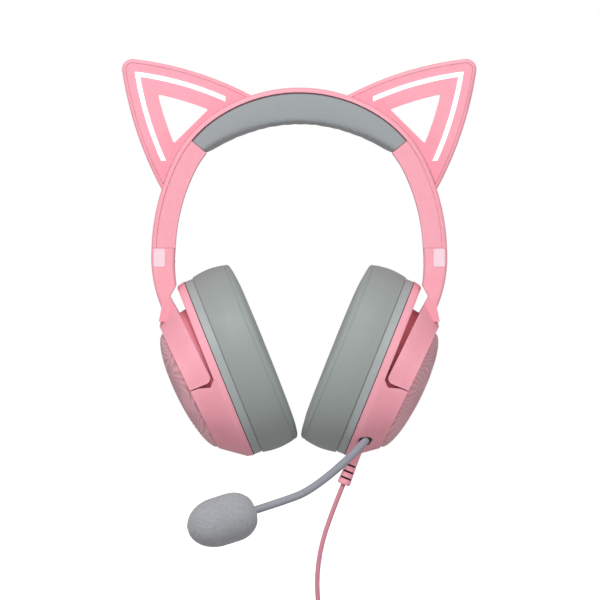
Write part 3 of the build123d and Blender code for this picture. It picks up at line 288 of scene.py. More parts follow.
# %% Grain of a mould
grain_group, given, gives = new_group(
    "mould_grain", {"Vector": ("Vector", None), "Size": ("Float", 0.0004)},
    {"Height": "Float", "Speck": "Float"})
tree = grain_group
density = maths(tree, "DIVIDE", 1.0, given["Size"])
pits = add(tree, "ShaderNodeTexNoise", {"Vector": given["Vector"], "Scale": density,
                                        "Detail": 3.0, "Roughness": 0.6})
tree.links.new(pits.outputs["Fac"], gives["Height"])
speck = add(tree, "ShaderNodeMapRange", {"Value": pits.outputs["Fac"], "From Min": 0.35,
                                         "From Max": 0.65})
tree.links.new(speck.outputs[0], gives["Speck"])

# %% Wear along edges
wear_group, given, gives = new_group(
    "edge_wear", {"Vector": ("Vector", None), "Reach": ("Float", 0.06)}, {"Mask": "Float"})
tree = wear_group
sharp = add(tree, "ShaderNodeNewGeometry").outputs["Pointiness"]
limit = maths(tree, "ADD", given["Reach"], 0.5)
ridge = add(tree, "ShaderNodeMapRange", {"Value": sharp, "From Min": 0.505, "From Max": limit})
patch = add(tree, "ShaderNodeTexNoise", {"Vector": given["Vector"], "Scale": 240.0,
                                         "Detail": 4.0})
tree.links.new(maths(tree, "MULTIPLY", ridge.outputs[0], patch.outputs["Fac"]), gives["Mask"])

# %% Dust and handling marks
dust_group, given, gives = new_group(
    "handling", {"Vector": ("Vector", None), "Size": ("Float", 0.03)},
    {"Patch": "Float", "Dust": "Float"})
tree = dust_group
density = maths(tree, "DIVIDE", 1.0, given["Size"])
clouds = add(tree, "ShaderNodeTexNoise", {"Vector": given["Vector"], "Scale": density,
                                          "Detail": 5.0, "Distortion": 0.4})
tree.links.new(clouds.outputs["Fac"], gives["Patch"])
upward = add(tree, "ShaderNodeSeparateXYZ",
             {0: add(tree, "ShaderNodeNewGeometry").outputs["Normal"]}).outputs["Z"]
settled = maths(tree, "MULTIPLY", maths(tree, "MAXIMUM", upward, 0.0), clouds.outputs["Fac"])
tree.links.new(settled, gives["Dust"])

# %% Plain weave
weave_group, given, gives = new_group(
    "plain_weave", {"Vector": ("Vector", None), "Thread": ("Float", 0.0006)},
    {"Height": "Float", "Gap": "Float"})
tree = weave_group
flat = add(tree, "ShaderNodeSeparateXYZ", {0: given["Vector"]}).outputs


def thread(along, across, over):
    """The height of the threads that run one way, over or under the others by turns."""
    number = maths(tree, "FLOOR", across)
    body = maths(tree, "ABSOLUTE", maths(tree, "SINE", maths(tree, "MULTIPLY", across, math.pi)))
    phase = maths(tree, "MULTIPLY", maths(tree, "ADD", along, number), math.pi)
    wave = maths(tree, "MULTIPLY", maths(tree, "SINE", phase), 0.5 * over)
    return maths(tree, "MULTIPLY", body, maths(tree, "ADD", wave, 0.5))


warp_way = maths(tree, "DIVIDE", flat["X"], given["Thread"])
weft_way = maths(tree, "DIVIDE", flat["Y"], given["Thread"])
cloth_height = maths(tree, "MAXIMUM", thread(weft_way, warp_way, 1), thread(warp_way, weft_way, -1))
tree.links.new(cloth_height, gives["Height"])
gap = add(tree, "ShaderNodeMapRange", {"Value": cloth_height, "From Min": 0.0, "From Max": 0.5,
                                       "To Min": 1.0, "To Max": 0.0})
tree.links.new(gap.outputs[0], gives["Gap"])
print("groups:", [g.name for g in bpy.data.node_groups])

# %% [markdown]
# ## Plastics
# Every moulded part gets the same recipe with its own numbers: a base colour that turns a
# shade darker in the grain's pits and a shade paler on rubbed edges, a roughness that
# varies with handling, and a bump from the grain. A plain colour would look like a
# drawing, and an image of plastic would repeat itself.


# %% The recipe for moulded plastic
def start_material(name):
    """A new material: its node tree, its shader and the coordinates of the object."""
    material = bpy.data.materials.new(name)
    material.use_nodes = True
    tree = material.node_tree
    place = add(tree, "ShaderNodeTexCoord").outputs["Object"]
    return material, tree, tree.nodes["Principled BSDF"], place


def blend_colour(tree, mask, first, second):
    """First colour where the mask is 0, second where it is 1."""
    mix = add(tree, "ShaderNodeMix", data_type="RGBA")
    for socket, value in ((0, mask), (6, first), (7, second)):
        if isinstance(value, bpy.types.NodeSocket):
            tree.links.new(value, mix.inputs[socket])
        else:
            mix.inputs[socket].default_value = value
    return mix.outputs[2]


def shade(colour, factor):
    """The same colour, darker or paler."""
    return (*[min(1.0, c * factor) for c in colour[:3]], 1.0)


def plastic(name, colour, rough, grain=0.0004, depth=0.00001, metallic=0.0, wear=0.5,
            valley_shade_attribute=None):
    """Moulded plastic or metal: grain, rubbed edges, handling marks, painted shade in valleys."""
    material, tree, shader, place = start_material(name)
    pits = place_group(tree, grain_group, {"Vector": place, "Size": grain})
    worn = place_group(tree, wear_group, {"Vector": place})
    hands = place_group(tree, dust_group, {"Vector": place})
    base = blend_colour(tree, pits["Speck"], shade(colour, 0.94), shade(colour, 1.02))
    base = blend_colour(tree, maths(tree, "MULTIPLY", hands["Patch"], 0.10), base,
                        shade(colour, 0.85))
    base = blend_colour(tree, maths(tree, "MULTIPLY", worn["Mask"], wear), base,
                        shade(colour, 1.25))
    base = blend_colour(tree, maths(tree, "MULTIPLY", hands["Dust"], 0.05), base,
                        (0.8, 0.8, 0.8, 1))
    if valley_shade_attribute:
        # painted shade: darker where the attribute is low, in the valleys between ridges
        crest = add(tree, "ShaderNodeAttribute", attribute_name=valley_shade_attribute).outputs["Fac"]
        base = blend_colour(tree, crest, shade(colour, 0.66), base)
    tree.links.new(base, shader.inputs["Base Color"])
    gloss = add(tree, "ShaderNodeMapRange", {"Value": hands["Patch"], "From Min": 0.3,
                                             "From Max": 0.7, "To Min": rough - 0.06,
                                             "To Max": rough + 0.06})
    tree.links.new(gloss.outputs[0], shader.inputs["Roughness"])
    bump = add(tree, "ShaderNodeBump", {"Strength": 0.6, "Distance": depth,
                                        "Height": pits["Height"]})
    tree.links.new(bump.outputs[0], shader.inputs["Normal"])
    shader.inputs["Metallic"].default_value = metallic
    return material


PINK = paint(250, 166, 181)
finishes = {
    "pink_plastic": plastic("pink_plastic", PINK, 0.46),
    "pink_cover": plastic("pink_cover", paint(250, 163, 179), 0.5, grain=0.0005),
    "pink_ridged": plastic("pink_ridged", paint(250, 186, 198), 0.34, grain=0.0003, valley_shade_attribute="crest"),
    "pale_pink": plastic("pale_pink", paint(249, 212, 222), 0.35, grain=0.0003),
    "grey_plastic": plastic("grey_plastic", paint(160, 166, 166), 0.5),
    "black_plastic": plastic("black_plastic", paint(34, 34, 37), 0.5),
    "board": plastic("board", paint(28, 74, 52), 0.4, grain=0.0012, depth=0.00003),
    "steel": plastic("steel", paint(150, 152, 156), 0.32, grain=0.0002, metallic=1.0),
    "white_film": plastic("white_film", paint(225, 225, 222), 0.55),
}


# %% Painted shade in the slots of the strain relief
SLOT_FLOOR = 2.1 * MM  # a slot's floor lies nearer to the middle than this, and faces front
relief_with_slot_shade = plastic("pink_relief_slot_shade", PINK, 0.5)
tree = relief_with_slot_shade.node_tree
shader = tree.nodes["Principled BSDF"]
spot = add(tree, "ShaderNodeSeparateXYZ", {0: add(tree, "ShaderNodeTexCoord").outputs["Object"]})
normal = add(tree, "ShaderNodeNewGeometry").outputs["Normal"]
facing = add(tree, "ShaderNodeSeparateXYZ", {0: normal})
deep = maths(tree, "LESS_THAN", maths(tree, "ABSOLUTE", spot.outputs["Y"]), SLOT_FLOOR)
frontal = maths(tree, "GREATER_THAN", maths(tree, "ABSOLUTE", facing.outputs["Y"]), 0.9)
base = shader.inputs["Base Color"].links[0].from_socket
# painted shade: the front-facing floors of the slots turn dark, as shade in the slots
dark = blend_colour(tree, maths(tree, "MULTIPLY", deep, frontal), base, paint(70, 30, 38))
tree.links.new(dark, shader.inputs["Base Color"])
finishes["pink_relief_slot_shade"] = relief_with_slot_shade
print("plastics:", len(finishes))

# %% [markdown]
# ## Light strips
# Each ear has a frosted strip in a V, lit from behind by a board of lamps. It is a milky
# plastic that glows, a little brighter over each lamp, so the glow varies along it.

# %% Frosted, glowing strip
material, tree, shader, place = start_material("light_white")
lamps = add(tree, "ShaderNodeTexNoise", {"Vector": place, "Scale": 130.0, "Detail": 1.0})
glow = blend_colour(tree, lamps.outputs["Fac"], (0.93, 0.93, 0.9, 1), (1, 1, 1, 1))
frost = place_group(tree, grain_group, {"Vector": place, "Size": 0.0003})
tree.links.new(glow, shader.inputs["Base Color"])
tree.links.new(glow, shader.inputs["Emission Color"])
shader.inputs["Emission Strength"].default_value = 0.55
rough = add(tree, "ShaderNodeMapRange", {"Value": frost["Speck"], "To Min": 0.35, "To Max": 0.5})
tree.links.new(rough.outputs[0], shader.inputs["Roughness"])
finishes["light_white"] = material
print("light strips ready")

# %% [markdown]
# ## Soft finishes
# The ear cushions wear a fine-grained leatherette, the band pad a plain-woven cloth, and
# the windscreen is open foam. Leatherette is small rounded cells with shallow creases
# between them, so it comes from a Voronoi texture. The cloth's threads follow an attribute
# laid out on the pad, because a weave has to run along its own surface.

# %% Leatherette
material, tree, shader, place = start_material("grey_leatherette")
GREY = paint(152, 159, 157)
cells = add(tree, "ShaderNodeTexVoronoi", {"Vector": place, "Scale": 1100.0},
            feature="DISTANCE_TO_EDGE")
crease = add(tree, "ShaderNodeMapRange", {"Value": cells.outputs["Distance"], "From Max": 0.18})
pores = place_group(tree, grain_group, {"Vector": place, "Size": 0.00025})
hands = place_group(tree, dust_group, {"Vector": place, "Size": 0.02})
seam = add(tree, "ShaderNodeAttribute", attribute_name="seam").outputs["Fac"]
puckers = add(tree, "ShaderNodeTexNoise", {"Vector": place, "Scale": 260.0, "Detail": 2.0})
pucker = maths(tree, "MULTIPLY", maths(tree, "MULTIPLY", seam, puckers.outputs["Fac"]), 3.0)
height = maths(tree, "ADD", maths(tree, "ADD", crease.outputs[0], pucker),
               maths(tree, "MULTIPLY", pores["Height"], 0.4))
base = blend_colour(tree, crease.outputs[0], shade(GREY, 0.93), GREY)
base = blend_colour(tree, maths(tree, "MULTIPLY", hands["Patch"], 0.14), base, shade(GREY, 0.8))
# painted shade along the seam's groove, strongest where the groove is deepest
base = blend_colour(tree, maths(tree, "MULTIPLY", seam, 0.55), base, shade(GREY, 0.62))
tree.links.new(base, shader.inputs["Base Color"])
gloss = add(tree, "ShaderNodeMapRange", {"Value": hands["Patch"], "From Min": 0.3,
                                         "From Max": 0.7, "To Min": 0.5, "To Max": 0.62})
tree.links.new(gloss.outputs[0], shader.inputs["Roughness"])
bump = add(tree, "ShaderNodeBump", {"Strength": 0.5, "Distance": 0.00004, "Height": height})
tree.links.new(bump.outputs[0], shader.inputs["Normal"])
shader.inputs["Sheen Weight"].default_value = 0.12
finishes["grey_leatherette"] = material
print("leatherette ready")


# %% Woven cloths
def cloth(name, colour, thread_size, attribute=None, depth=0.0001, gap_shade=0.62):
    """A plain-woven cloth; its threads follow an attribute, or the object's own coordinates."""
    material, tree, shader, place = start_material(name)
    parts = add(tree, "ShaderNodeSeparateXYZ", {0: place}).outputs
    lay = add(tree, "ShaderNodeCombineXYZ", {"X": parts["Y"], "Y": parts["Z"]}).outputs[0]
    if attribute:
        lay = add(tree, "ShaderNodeAttribute", attribute_name=attribute).outputs["Vector"]
    woven = place_group(tree, weave_group, {"Vector": lay, "Thread": thread_size})
    fibres = place_group(tree, grain_group, {"Vector": place, "Size": 0.0002})
    hands = place_group(tree, dust_group, {"Vector": place, "Size": 0.025})
    base = blend_colour(tree, woven["Gap"], shade(colour, 1.05), shade(colour, gap_shade))
    base = blend_colour(tree, maths(tree, "MULTIPLY", fibres["Speck"], 0.2), base,
                        shade(colour, 0.8))
    base = blend_colour(tree, maths(tree, "MULTIPLY", hands["Patch"], 0.12), base,
                        shade(colour, 0.75))
    tree.links.new(base, shader.inputs["Base Color"])
    rough = add(tree, "ShaderNodeMapRange", {"Value": hands["Patch"], "To Min": 0.8,
                                             "To Max": 0.95})
    tree.links.new(rough.outputs[0], shader.inputs["Roughness"])
    height = maths(tree, "ADD", woven["Height"], maths(tree, "MULTIPLY", fibres["Height"], 0.3))
    bump = add(tree, "ShaderNodeBump", {"Strength": 0.7, "Distance": depth, "Height": height})
    tree.links.new(bump.outputs[0], shader.inputs["Normal"])
    shader.inputs["Sheen Weight"].default_value = 0.3
    shader.inputs["Sheen Roughness"].default_value = 0.5
    return material


finishes["grey_fabric"] = cloth("grey_fabric", paint(160, 165, 168), 0.0007, "cloth")
finishes["dark_mesh"] = cloth("dark_mesh", paint(70, 72, 76), 0.0012, gap_shade=0.35)
finishes["tie_black"] = cloth("tie_black", paint(40, 40, 44), 0.0005)
print("cloths ready")

# %% Open foam
material, tree, shader, place = start_material("foam")
FOAM = paint(160, 161, 166)
bubbles = add(tree, "ShaderNodeTexVoronoi", {"Vector": place, "Scale": 1300.0})
pore = add(tree, "ShaderNodeMapRange", {"Value": bubbles.outputs["Distance"], "From Min": 0.1,
                                        "From Max": 0.55})
hands = place_group(tree, dust_group, {"Vector": place, "Size": 0.012})
base = blend_colour(tree, pore.outputs[0], shade(FOAM, 0.8), shade(FOAM, 1.06))
base = blend_colour(tree, maths(tree, "MULTIPLY", hands["Patch"], 0.15), base, shade(FOAM, 0.8))
tree.links.new(base, shader.inputs["Base Color"])
rough = add(tree, "ShaderNodeMapRange", {"Value": pore.outputs[0], "To Min": 0.8, "To Max": 1.0})
tree.links.new(rough.outputs[0], shader.inputs["Roughness"])
bump = add(tree, "ShaderNodeBump", {"Strength": 0.8, "Distance": 0.00015,
                                    "Height": pore.outputs[0]})
tree.links.new(bump.outputs[0], shader.inputs["Normal"])
shader.inputs["Sheen Weight"].default_value = 0.25
finishes["foam"] = material
print("foam ready")


# %% [markdown]
# ## Rubber of the boom and the cord
# Both are extruded tubes, with a fine grain and small changes of gloss. The cord also has
# faint rings, counted along its length, which the tube's own UV map gives.


# %% Extruded rubber
def extruded(name, colour, rough, ring_length, rings, depth):
    """Rubber tube with faint rings or ribs, counted along its UV map."""
    material, tree, shader, place = start_material(name)
    lengthwise = add(tree, "ShaderNodeUVMap").outputs[0]
    parts = add(tree, "ShaderNodeSeparateXYZ", {0: lengthwise}).outputs
    phase = maths(tree, "MULTIPLY", parts["X"], 2 * math.pi * rings)
    rib = maths(tree, "MULTIPLY_ADD", maths(tree, "SINE", phase), 0.5)
    pits = place_group(tree, grain_group, {"Vector": place, "Size": ring_length})
    hands = place_group(tree, dust_group, {"Vector": place, "Size": 0.02})
    base = blend_colour(tree, pits["Speck"], shade(colour, 0.93), shade(colour, 1.03))
    base = blend_colour(tree, maths(tree, "MULTIPLY", hands["Patch"], 0.15), base,
                        shade(colour, 0.8))
    tree.links.new(base, shader.inputs["Base Color"])
    gloss = add(tree, "ShaderNodeMapRange", {"Value": hands["Patch"], "From Min": 0.3,
                                             "From Max": 0.7, "To Min": rough - 0.06,
                                             "To Max": rough + 0.06})
    tree.links.new(gloss.outputs[0], shader.inputs["Roughness"])
    height = maths(tree, "ADD", rib, maths(tree, "MULTIPLY", pits["Height"], 0.6))
    bump = add(tree, "ShaderNodeBump", {"Strength": 0.4, "Distance": depth, "Height": height})
    tree.links.new(bump.outputs[0], shader.inputs["Normal"])
    return material


finishes["boom_rubber"] = extruded("boom_rubber", paint(152, 155, 164), 0.5, 0.0003, 0, 0.000006)
finishes["cable_pink"] = extruded("cable_pink", paint(214, 138, 156), 0.5, 0.0004, 1500, 0.00002)
cord.data.materials.append(finishes["cable_pink"])
print("finishes:", sorted(finishes))

# %% [markdown]
# ## Finishes for the CAD parts
# Each CAD part keeps its mesh and takes a finish. The list goes by what the parts are made
# of on a real headset; only the mic socket is black as painted shade in the hole round the boom.

# %% Give every CAD part its finish
made_of = {
    "pink_plastic": ["headband_outer_cover", "headband_inner_cover_left",
                     "headband_inner_cover_right", "ear_shell_left", "ear_shell_right",
                     "yoke_left", "yoke_right", "cup_shell_left", "cup_shell_right",
                     "mute_button", "mic_housing"],
    "pink_relief_slot_shade": ["strain_relief"],
    "pink_cover": ["ear_cover_left", "ear_cover_right"],
    "pale_pink": ["side_marker_left", "side_marker_right"],
    "grey_plastic": ["baffle_left", "baffle_right", "driver_left", "driver_right",
                     "volume_wheel"],
    "dark_mesh": ["driver_mesh_left", "driver_mesh_right"],
    "light_white": ["ear_light_left", "ear_light_right"],
    "board": ["ear_light_board_left", "ear_light_board_right", "main_board"],
    # the mic socket is black as painted shade round the boom; the other parts here are black
    "black_plastic": ["mic_capsule", "mic_socket", "crossover_cable", "plug_body"],
}
for finish_name, node_names in made_of.items():
    for node_name in node_names:
        if node_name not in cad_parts:
            print("no such part:", node_name)
            continue
        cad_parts[node_name].data.materials.clear()
        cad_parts[node_name].data.materials.append(finishes[finish_name])
listed = {name for names in made_of.values() for name in names}
for node_name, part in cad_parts.items():
    if node_name not in listed:
        part.data.materials.clear()
        part.data.materials.append(finishes["steel"])
print("parts in steel:", sorted(set(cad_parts) - listed))

# %% [markdown]
# ## Shapes for new pieces
# A finished piece leaves bmesh as an object at the origin, with its place in its mesh. The
# cup's own axes help to place the pieces on it: rearwards, up the cup, and outwards.


# %% Helpers for pieces
def to_object(name, bm, smooth=True):
    """Turn a bmesh into an object in the scene."""
    bmesh.ops.recalc_face_normals(bm, faces=bm.faces)
    for face in bm.faces:
        face.smooth = smooth
    data = bpy.data.meshes.new(name)
    bm.to_mesh(data)
    bm.free()
    made = bpy.data.objects.new(name, data)
    scene.collection.objects.link(made)
    return made


def finish_piece(piece, body, finish, nodes=()):
    """Give a piece its finish and the body it rides on, and hide the CAD parts it stands for."""
    piece.data.materials.clear()
    piece.data.materials.append(finishes[finish])
    if body:
        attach(piece, body)
    if nodes:
        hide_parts(*nodes)
    return piece


def bake(piece):
    """Replace a piece's mesh by what its modifiers make of it."""
    depsgraph = bpy.context.evaluated_depsgraph_get()
    data = bpy.data.meshes.new_from_object(piece.evaluated_get(depsgraph))
    piece.modifiers.clear()
    piece.data = data


CUP_TILT = math.radians(22.0)


def cup_frame(side):
    """From the cup's own axes (rearwards, up, outwards) to the headset's, for side 1 or -1."""
    outward = Vector((side * math.cos(CUP_TILT), 0, -math.sin(CUP_TILT)))
    upward = Vector((side * math.sin(CUP_TILT), 0, math.cos(CUP_TILT)))
    turned = Matrix((Vector((0, 1, 0)), upward, outward)).transposed().to_4x4()
    return Matrix.Translation((side * 0.043, 0, -0.131)) @ turned


SIDES = {"left": 1, "right": -1}
print("cup frames:", [tuple(round(v, 3) for v in cup_frame(s).translation) for s in (1, -1)])

# %% [markdown]
# ## Cushions
# A cushion is foam in a sewn cover. The foam pushes the cover out between its seams, so its
# walls are a little crowned and no edge is sharp. Cloth simulation does the same: an even
# mesh is blown up a little by pressure, and kept from moving further than the cover would
# let it. The mesh is built from rings of points bridged into a skin, because rings can
# follow the seam and the edges, and a voxel remesh would leave them ragged.


# %% Skins of rings, and stuffing
def ringed(name, rings, segments, place, closed):
    """A skin through rings; place gives each point by its ring's number and share round it."""
    skin = bmesh.new()
    loops = []
    for number in range(rings):
        ring = bmesh.ops.create_circle(skin, radius=1.0, segments=segments)["verts"]
        for turn, vertex in enumerate(ring):
            vertex.co = place(number, turn / segments)
        loops.append(list(dict.fromkeys(e for v in ring for e in v.link_edges)))
    following = loops[1:] + loops[:1] if closed else loops[1:]
    for first, second in zip(loops, following):
        bmesh.ops.bridge_loops(skin, edges=first + second)
    bmesh.ops.holes_fill(skin, edges=[e for e in skin.edges if e.is_boundary])
    return to_object(name, skin)


def even_copy(name, node_name, voxel):
    """A copy of a CAD part with an even mesh."""
    copied = bpy.data.objects.new(name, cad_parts[node_name].data.copy())
    scene.collection.objects.link(copied)
    merged = bmesh.new()
    merged.from_mesh(copied.data)
    bmesh.ops.remove_doubles(merged, verts=merged.verts, dist=0.00001)
    merged.to_mesh(copied.data)
    merged.free()
    remesh = copied.modifiers.new("even", "REMESH")
    remesh.mode = "VOXEL"
    remesh.voxel_size = voxel
    bake(copied)
    return copied


def stuffed(soft, cap, rests, smoothing=2):
    """Swell a skin, at most by cap. rests says which points lie on something, and stay."""
    normals = [v.normal.copy() for v in soft.data.vertices]
    before = [v.co.copy() for v in soft.data.vertices]
    resting = [rests(point, normal) for point, normal in zip(before, normals)]
    for name, wanted in (("held", True), ("free", False)):
        chosen = [n for n, rest in enumerate(resting) if rest is wanted]
        soft.vertex_groups.new(name=name).add(chosen, 1.0, "REPLACE")
    swell = soft.modifiers.new("swell", "CLOTH")
    swell.settings.vertex_group_mass = "held"
    swell.settings.use_pressure = True
    swell.settings.uniform_pressure_force = 4.0
    swell.settings.effector_weights.gravity = 0.0
    swell.settings.quality = 4
    for number in range(1, 21):
        scene.frame_set(number)
    bake(soft)
    scene.frame_set(1)
    moved = 0.0
    for vertex, start, rest in zip(soft.data.vertices, before, resting):
        step = Vector() if rest else vertex.co - start
        if step.length > cap:
            step *= cap / step.length
        moved = max(moved, step.length)
        vertex.co = start + step
    relax = soft.modifiers.new("relax", "SMOOTH")
    relax.vertex_group = "free"
    relax.factor = 0.4
    relax.iterations = smoothing
    finer = soft.modifiers.new("finer", "SUBSURF")
    finer.levels = finer.render_levels = 1
    bake(soft)
    soft.vertex_groups.clear()
    for polygon in soft.data.polygons:
        polygon.use_smooth = True
    print(soft.name, len(soft.data.vertices), "points, swelled", round(moved / MM, 2), "mm")
    return soft


# %% Section of an ear cushion
CUSHION_OUTER = (43.4 * MM, 50.4 * MM)
CUSHION_HOLE = (22.0 * MM, 28.0 * MM)
CUSHION_BACK = -4.95 * MM
CUSHION_FACE = -27.05 * MM
CUSHION_EDGE = 4.2 * MM
CUSHION_HOLE_EDGE = 3.0 * MM
CUSHION_CROWN = 1.0 * MM
SEAM_W = CUSHION_FACE + CUSHION_EDGE - 0.4 * MM
SEAM_HALF = 0.8 * MM
SEAM_DEPTH = 0.5 * MM
WALL_RINGS = 18
section_width = CUSHION_OUTER[0] - CUSHION_HOLE[0]


def between(start, end, count):
    """Points on the way from start to end, without the end."""
    return [Vector(start).lerp(Vector(end), n / count) for n in range(count)]


def rounded(centre, radius, start, count):
    """Points on a quarter turn, from a start angle on, counterclockwise."""
    turns = [math.radians(start + 90 * n / count) for n in range(count)]
    return [Vector((centre[0] + radius * math.cos(t), centre[1] + radius * math.sin(t)))
            for t in turns]


# each point: how far in from the outer wall, and its height along the cup's outward axis
inner_wall = section_width
edge_in = (CUSHION_EDGE, CUSHION_FACE + CUSHION_EDGE)
hole_in = (inner_wall - CUSHION_HOLE_EDGE, CUSHION_FACE + CUSHION_HOLE_EDGE)
outer_wall = between((0.0, CUSHION_BACK - 0.3 * MM), (0.0, edge_in[1]), WALL_RINGS)
for number, point in enumerate(outer_wall):
    point.x -= CUSHION_CROWN * math.sin(math.pi * number / WALL_RINGS)
section = [
    Vector((0.2 * MM, CUSHION_BACK)),
    *outer_wall,
    *rounded(edge_in, CUSHION_EDGE, 180, 6),
    *between((CUSHION_EDGE, CUSHION_FACE), (hole_in[0], CUSHION_FACE), 9),
    *rounded(hole_in, CUSHION_HOLE_EDGE, 270, 5),
    *between((inner_wall, hole_in[1]), (inner_wall, CUSHION_BACK), 12),
    *between((inner_wall, CUSHION_BACK), (0.2 * MM, CUSHION_BACK), 8),
]
print(len(section), "rings in a cushion")

# %% Ear cushions
for side_name, side in SIDES.items():
    cup = cup_frame(side)
    into_cup = cup.inverted()

    def on_skin(number, share):
        turn = 2 * math.pi * share
        inwards, height = section[number]
        part = inwards / section_width
        half = [out + (hole - out) * part for out, hole in zip(CUSHION_OUTER, CUSHION_HOLE)]
        return cup @ Vector((half[0] * math.cos(turn), half[1] * math.sin(turn), height))

    def on_baffle(point, normal):
        return (into_cup @ point).z > CUSHION_BACK - 0.5 * MM

    cushion = stuffed(ringed(f"cushion_{side_name}", len(section), 96, on_skin, True),
                      1.3 * MM, on_baffle)
    stitched = cushion.data.attributes.new("seam", "FLOAT", "POINT")
    for vertex in cushion.data.vertices:
        local = into_cup @ vertex.co
        away = abs(local.z - SEAM_W)
        share = math.hypot(local.x / CUSHION_OUTER[0], local.y / CUSHION_OUTER[1])
        if away < SEAM_HALF and share > 0.9:
            pressed = (1 - away / SEAM_HALF) ** 2
            inwards = Vector((-local.x, -local.y, 0)).normalized() * SEAM_DEPTH * pressed
            vertex.co = cup @ (local + inwards)
            stitched.data[vertex.index].value = pressed
    finish_piece(cushion, f"{side_name}_cup", "grey_leatherette", [f"ear_cushion_{side_name}"])

# %% [markdown]
# ## Shade rings
# A thin flat black ring lies in the joint between each shell and its baffle, a little inside
# the rim. It is painted shade: it gives the dark line round the cup.

# %% Black rings of painted shade in the cup joints
SHADE_RING_OUTER = (42.75 * MM, 49.75 * MM)
SHADE_RING_WIDTH = 2.5 * MM
SHADE_RING_TOP = -0.03 * MM
SHADE_RING_T = 0.39 * MM
SHADE_RING_CORNERS = [(0, SHADE_RING_TOP), (0, SHADE_RING_TOP - SHADE_RING_T),
                  (SHADE_RING_WIDTH, SHADE_RING_TOP - SHADE_RING_T), (SHADE_RING_WIDTH, SHADE_RING_TOP)]
for side_name, side in SIDES.items():
    cup = cup_frame(side)

    def on_shade_ring(number, share):
        turn = 2 * math.pi * share
        inwards, height = SHADE_RING_CORNERS[number]
        return cup @ Vector(((SHADE_RING_OUTER[0] - inwards) * math.cos(turn),
                             (SHADE_RING_OUTER[1] - inwards) * math.sin(turn), height))

    shade_ring = ringed(f"gasket_{side_name}", len(SHADE_RING_CORNERS), 128, on_shade_ring, True)
    finish_piece(shade_ring, f"{side_name}_cup", "black_plastic")
    print(shade_ring.name, len(shade_ring.data.polygons), "faces")

# %% [markdown]
# ## Band pad
# The pad under the band is cloth over foam, tucked against the pink cover. It is a skin of
# rings as well, one ring for each step along the band. Each ring runs square to the band's
# outer curve, from the cover down to the pad's flatter underside. Only the lower side is
# free to swell. Each point then notes how far it lies along and across the pad, for the
# weave to follow.

# %% Pad under the band
CROWN = ((0.0, -62.1), 81.0, 0.0)
SHOULDER = ((9.94, -48.2), 63.9, 35.65)
PAD_UNDER = ((0.0, -88.9), 88.9)
PAD_TOP_DEPTH = 2.65
PAD_END_ANGLE = 50.85
PAD_CAP_ANGLE = 50.6
END_SPARE = 0.1  # degrees before the cap's angle from which a point counts as the end
END_FROM = 50 * MM
PAD_HALF = 18.0
PAD_HALF_END = 13.0
BAND_LOW_Z = -66.6
PAD_EDGE = 3.5
PAD_STEPS = 90
WALL_STEPS = 5
FACE_STEPS = 16


def pad_ring(angle):
    """At an angle from the crown: the point under the cover, the way out, and the depth."""
    size = math.radians(abs(angle))
    (across, up), radius, _ = SHOULDER if abs(angle) > SHOULDER[2] else CROWN
    out = Vector((math.sin(size), math.cos(size)))
    top = Vector((across, up)) + out * (radius - PAD_TOP_DEPTH)
    to_centre = top - Vector(PAD_UNDER[0])
    along = to_centre.dot(out)
    depth = along - math.sqrt(along ** 2 - to_centre.length_squared + PAD_UNDER[1] ** 2)
    flip = Vector((math.copysign(1, angle), 1))
    return top * flip, out * flip, depth


def pad_outline(half, deep, edge):
    """A ring as (sideways, down) points: flat top, sides, rounded lower corners, underside."""
    corner = [(half - edge, deep - edge), (-half + edge, deep - edge)]
    return [
        *between((-half, 0), (half, 0), FACE_STEPS),
        *between((half, 0), (half, corner[0][1]), WALL_STEPS),
        *rounded(corner[0], edge, 0, WALL_STEPS),
        *between((corner[0][0], deep), (corner[1][0], deep), FACE_STEPS),
        *rounded(corner[1], edge, 90, WALL_STEPS),
        *between((-half, corner[1][1]), (-half, 0), WALL_STEPS),
    ]


def on_pad(number, share):
    end = min(number, PAD_STEPS - number)
    angle = PAD_CAP_ANGLE * (2 * number - PAD_STEPS) / (PAD_STEPS - 4)
    if end < 2:
        angle = math.copysign(PAD_END_ANGLE, angle)
    top, out, depth = pad_ring(angle)
    lower = max(0.0, -top.y / -BAND_LOW_Z)
    half = PAD_HALF + (PAD_HALF_END - PAD_HALF) * lower
    ring = pad_outline(half, depth, PAD_EDGE)
    sideways, down = ring[round(share * len(ring))]
    if end == 0:
        sideways *= 0.9
        down = depth / 2 + (down - depth / 2) * 0.8
    flat = top - out * down
    return Vector((flat.x, sideways, flat.y)) * MM


def against_cover(point, normal):
    """Whether a point lies under the cover or against the end of the inner cover."""
    centre = Vector((math.copysign(SHOULDER[0][0], point.x), SHOULDER[0][1])) * MM
    turn = math.atan2(abs(point.x - centre.x), point.z - centre.y)
    at_end = turn > math.radians(PAD_CAP_ANGLE - END_SPARE) and abs(point.x) > END_FROM
    return normal.z > 0.5 or at_end


ring_size = len(pad_outline(PAD_HALF, 10.0, PAD_EDGE))
pad = stuffed(ringed("band_pad", PAD_STEPS + 1, ring_size, on_pad, False), 0.9 * MM,
              against_cover)
laid = pad.data.attributes.new("cloth", "FLOAT_VECTOR", "POINT")
reach = (CROWN[1] - PAD_TOP_DEPTH) * MM
for vertex in pad.data.vertices:
    from_centre = vertex.co - Vector((0, 0, CROWN[0][1] * MM))
    angle = math.atan2(from_centre.x, from_centre.z)
    depth = reach - math.hypot(from_centre.x, from_centre.z)
    wrap = vertex.co.y + math.copysign(depth, vertex.co.y)
    laid.data[vertex.index].vector = (angle * reach, wrap, 0)
finish_piece(pad, "headband", "grey_fabric", ["headband_pad"])
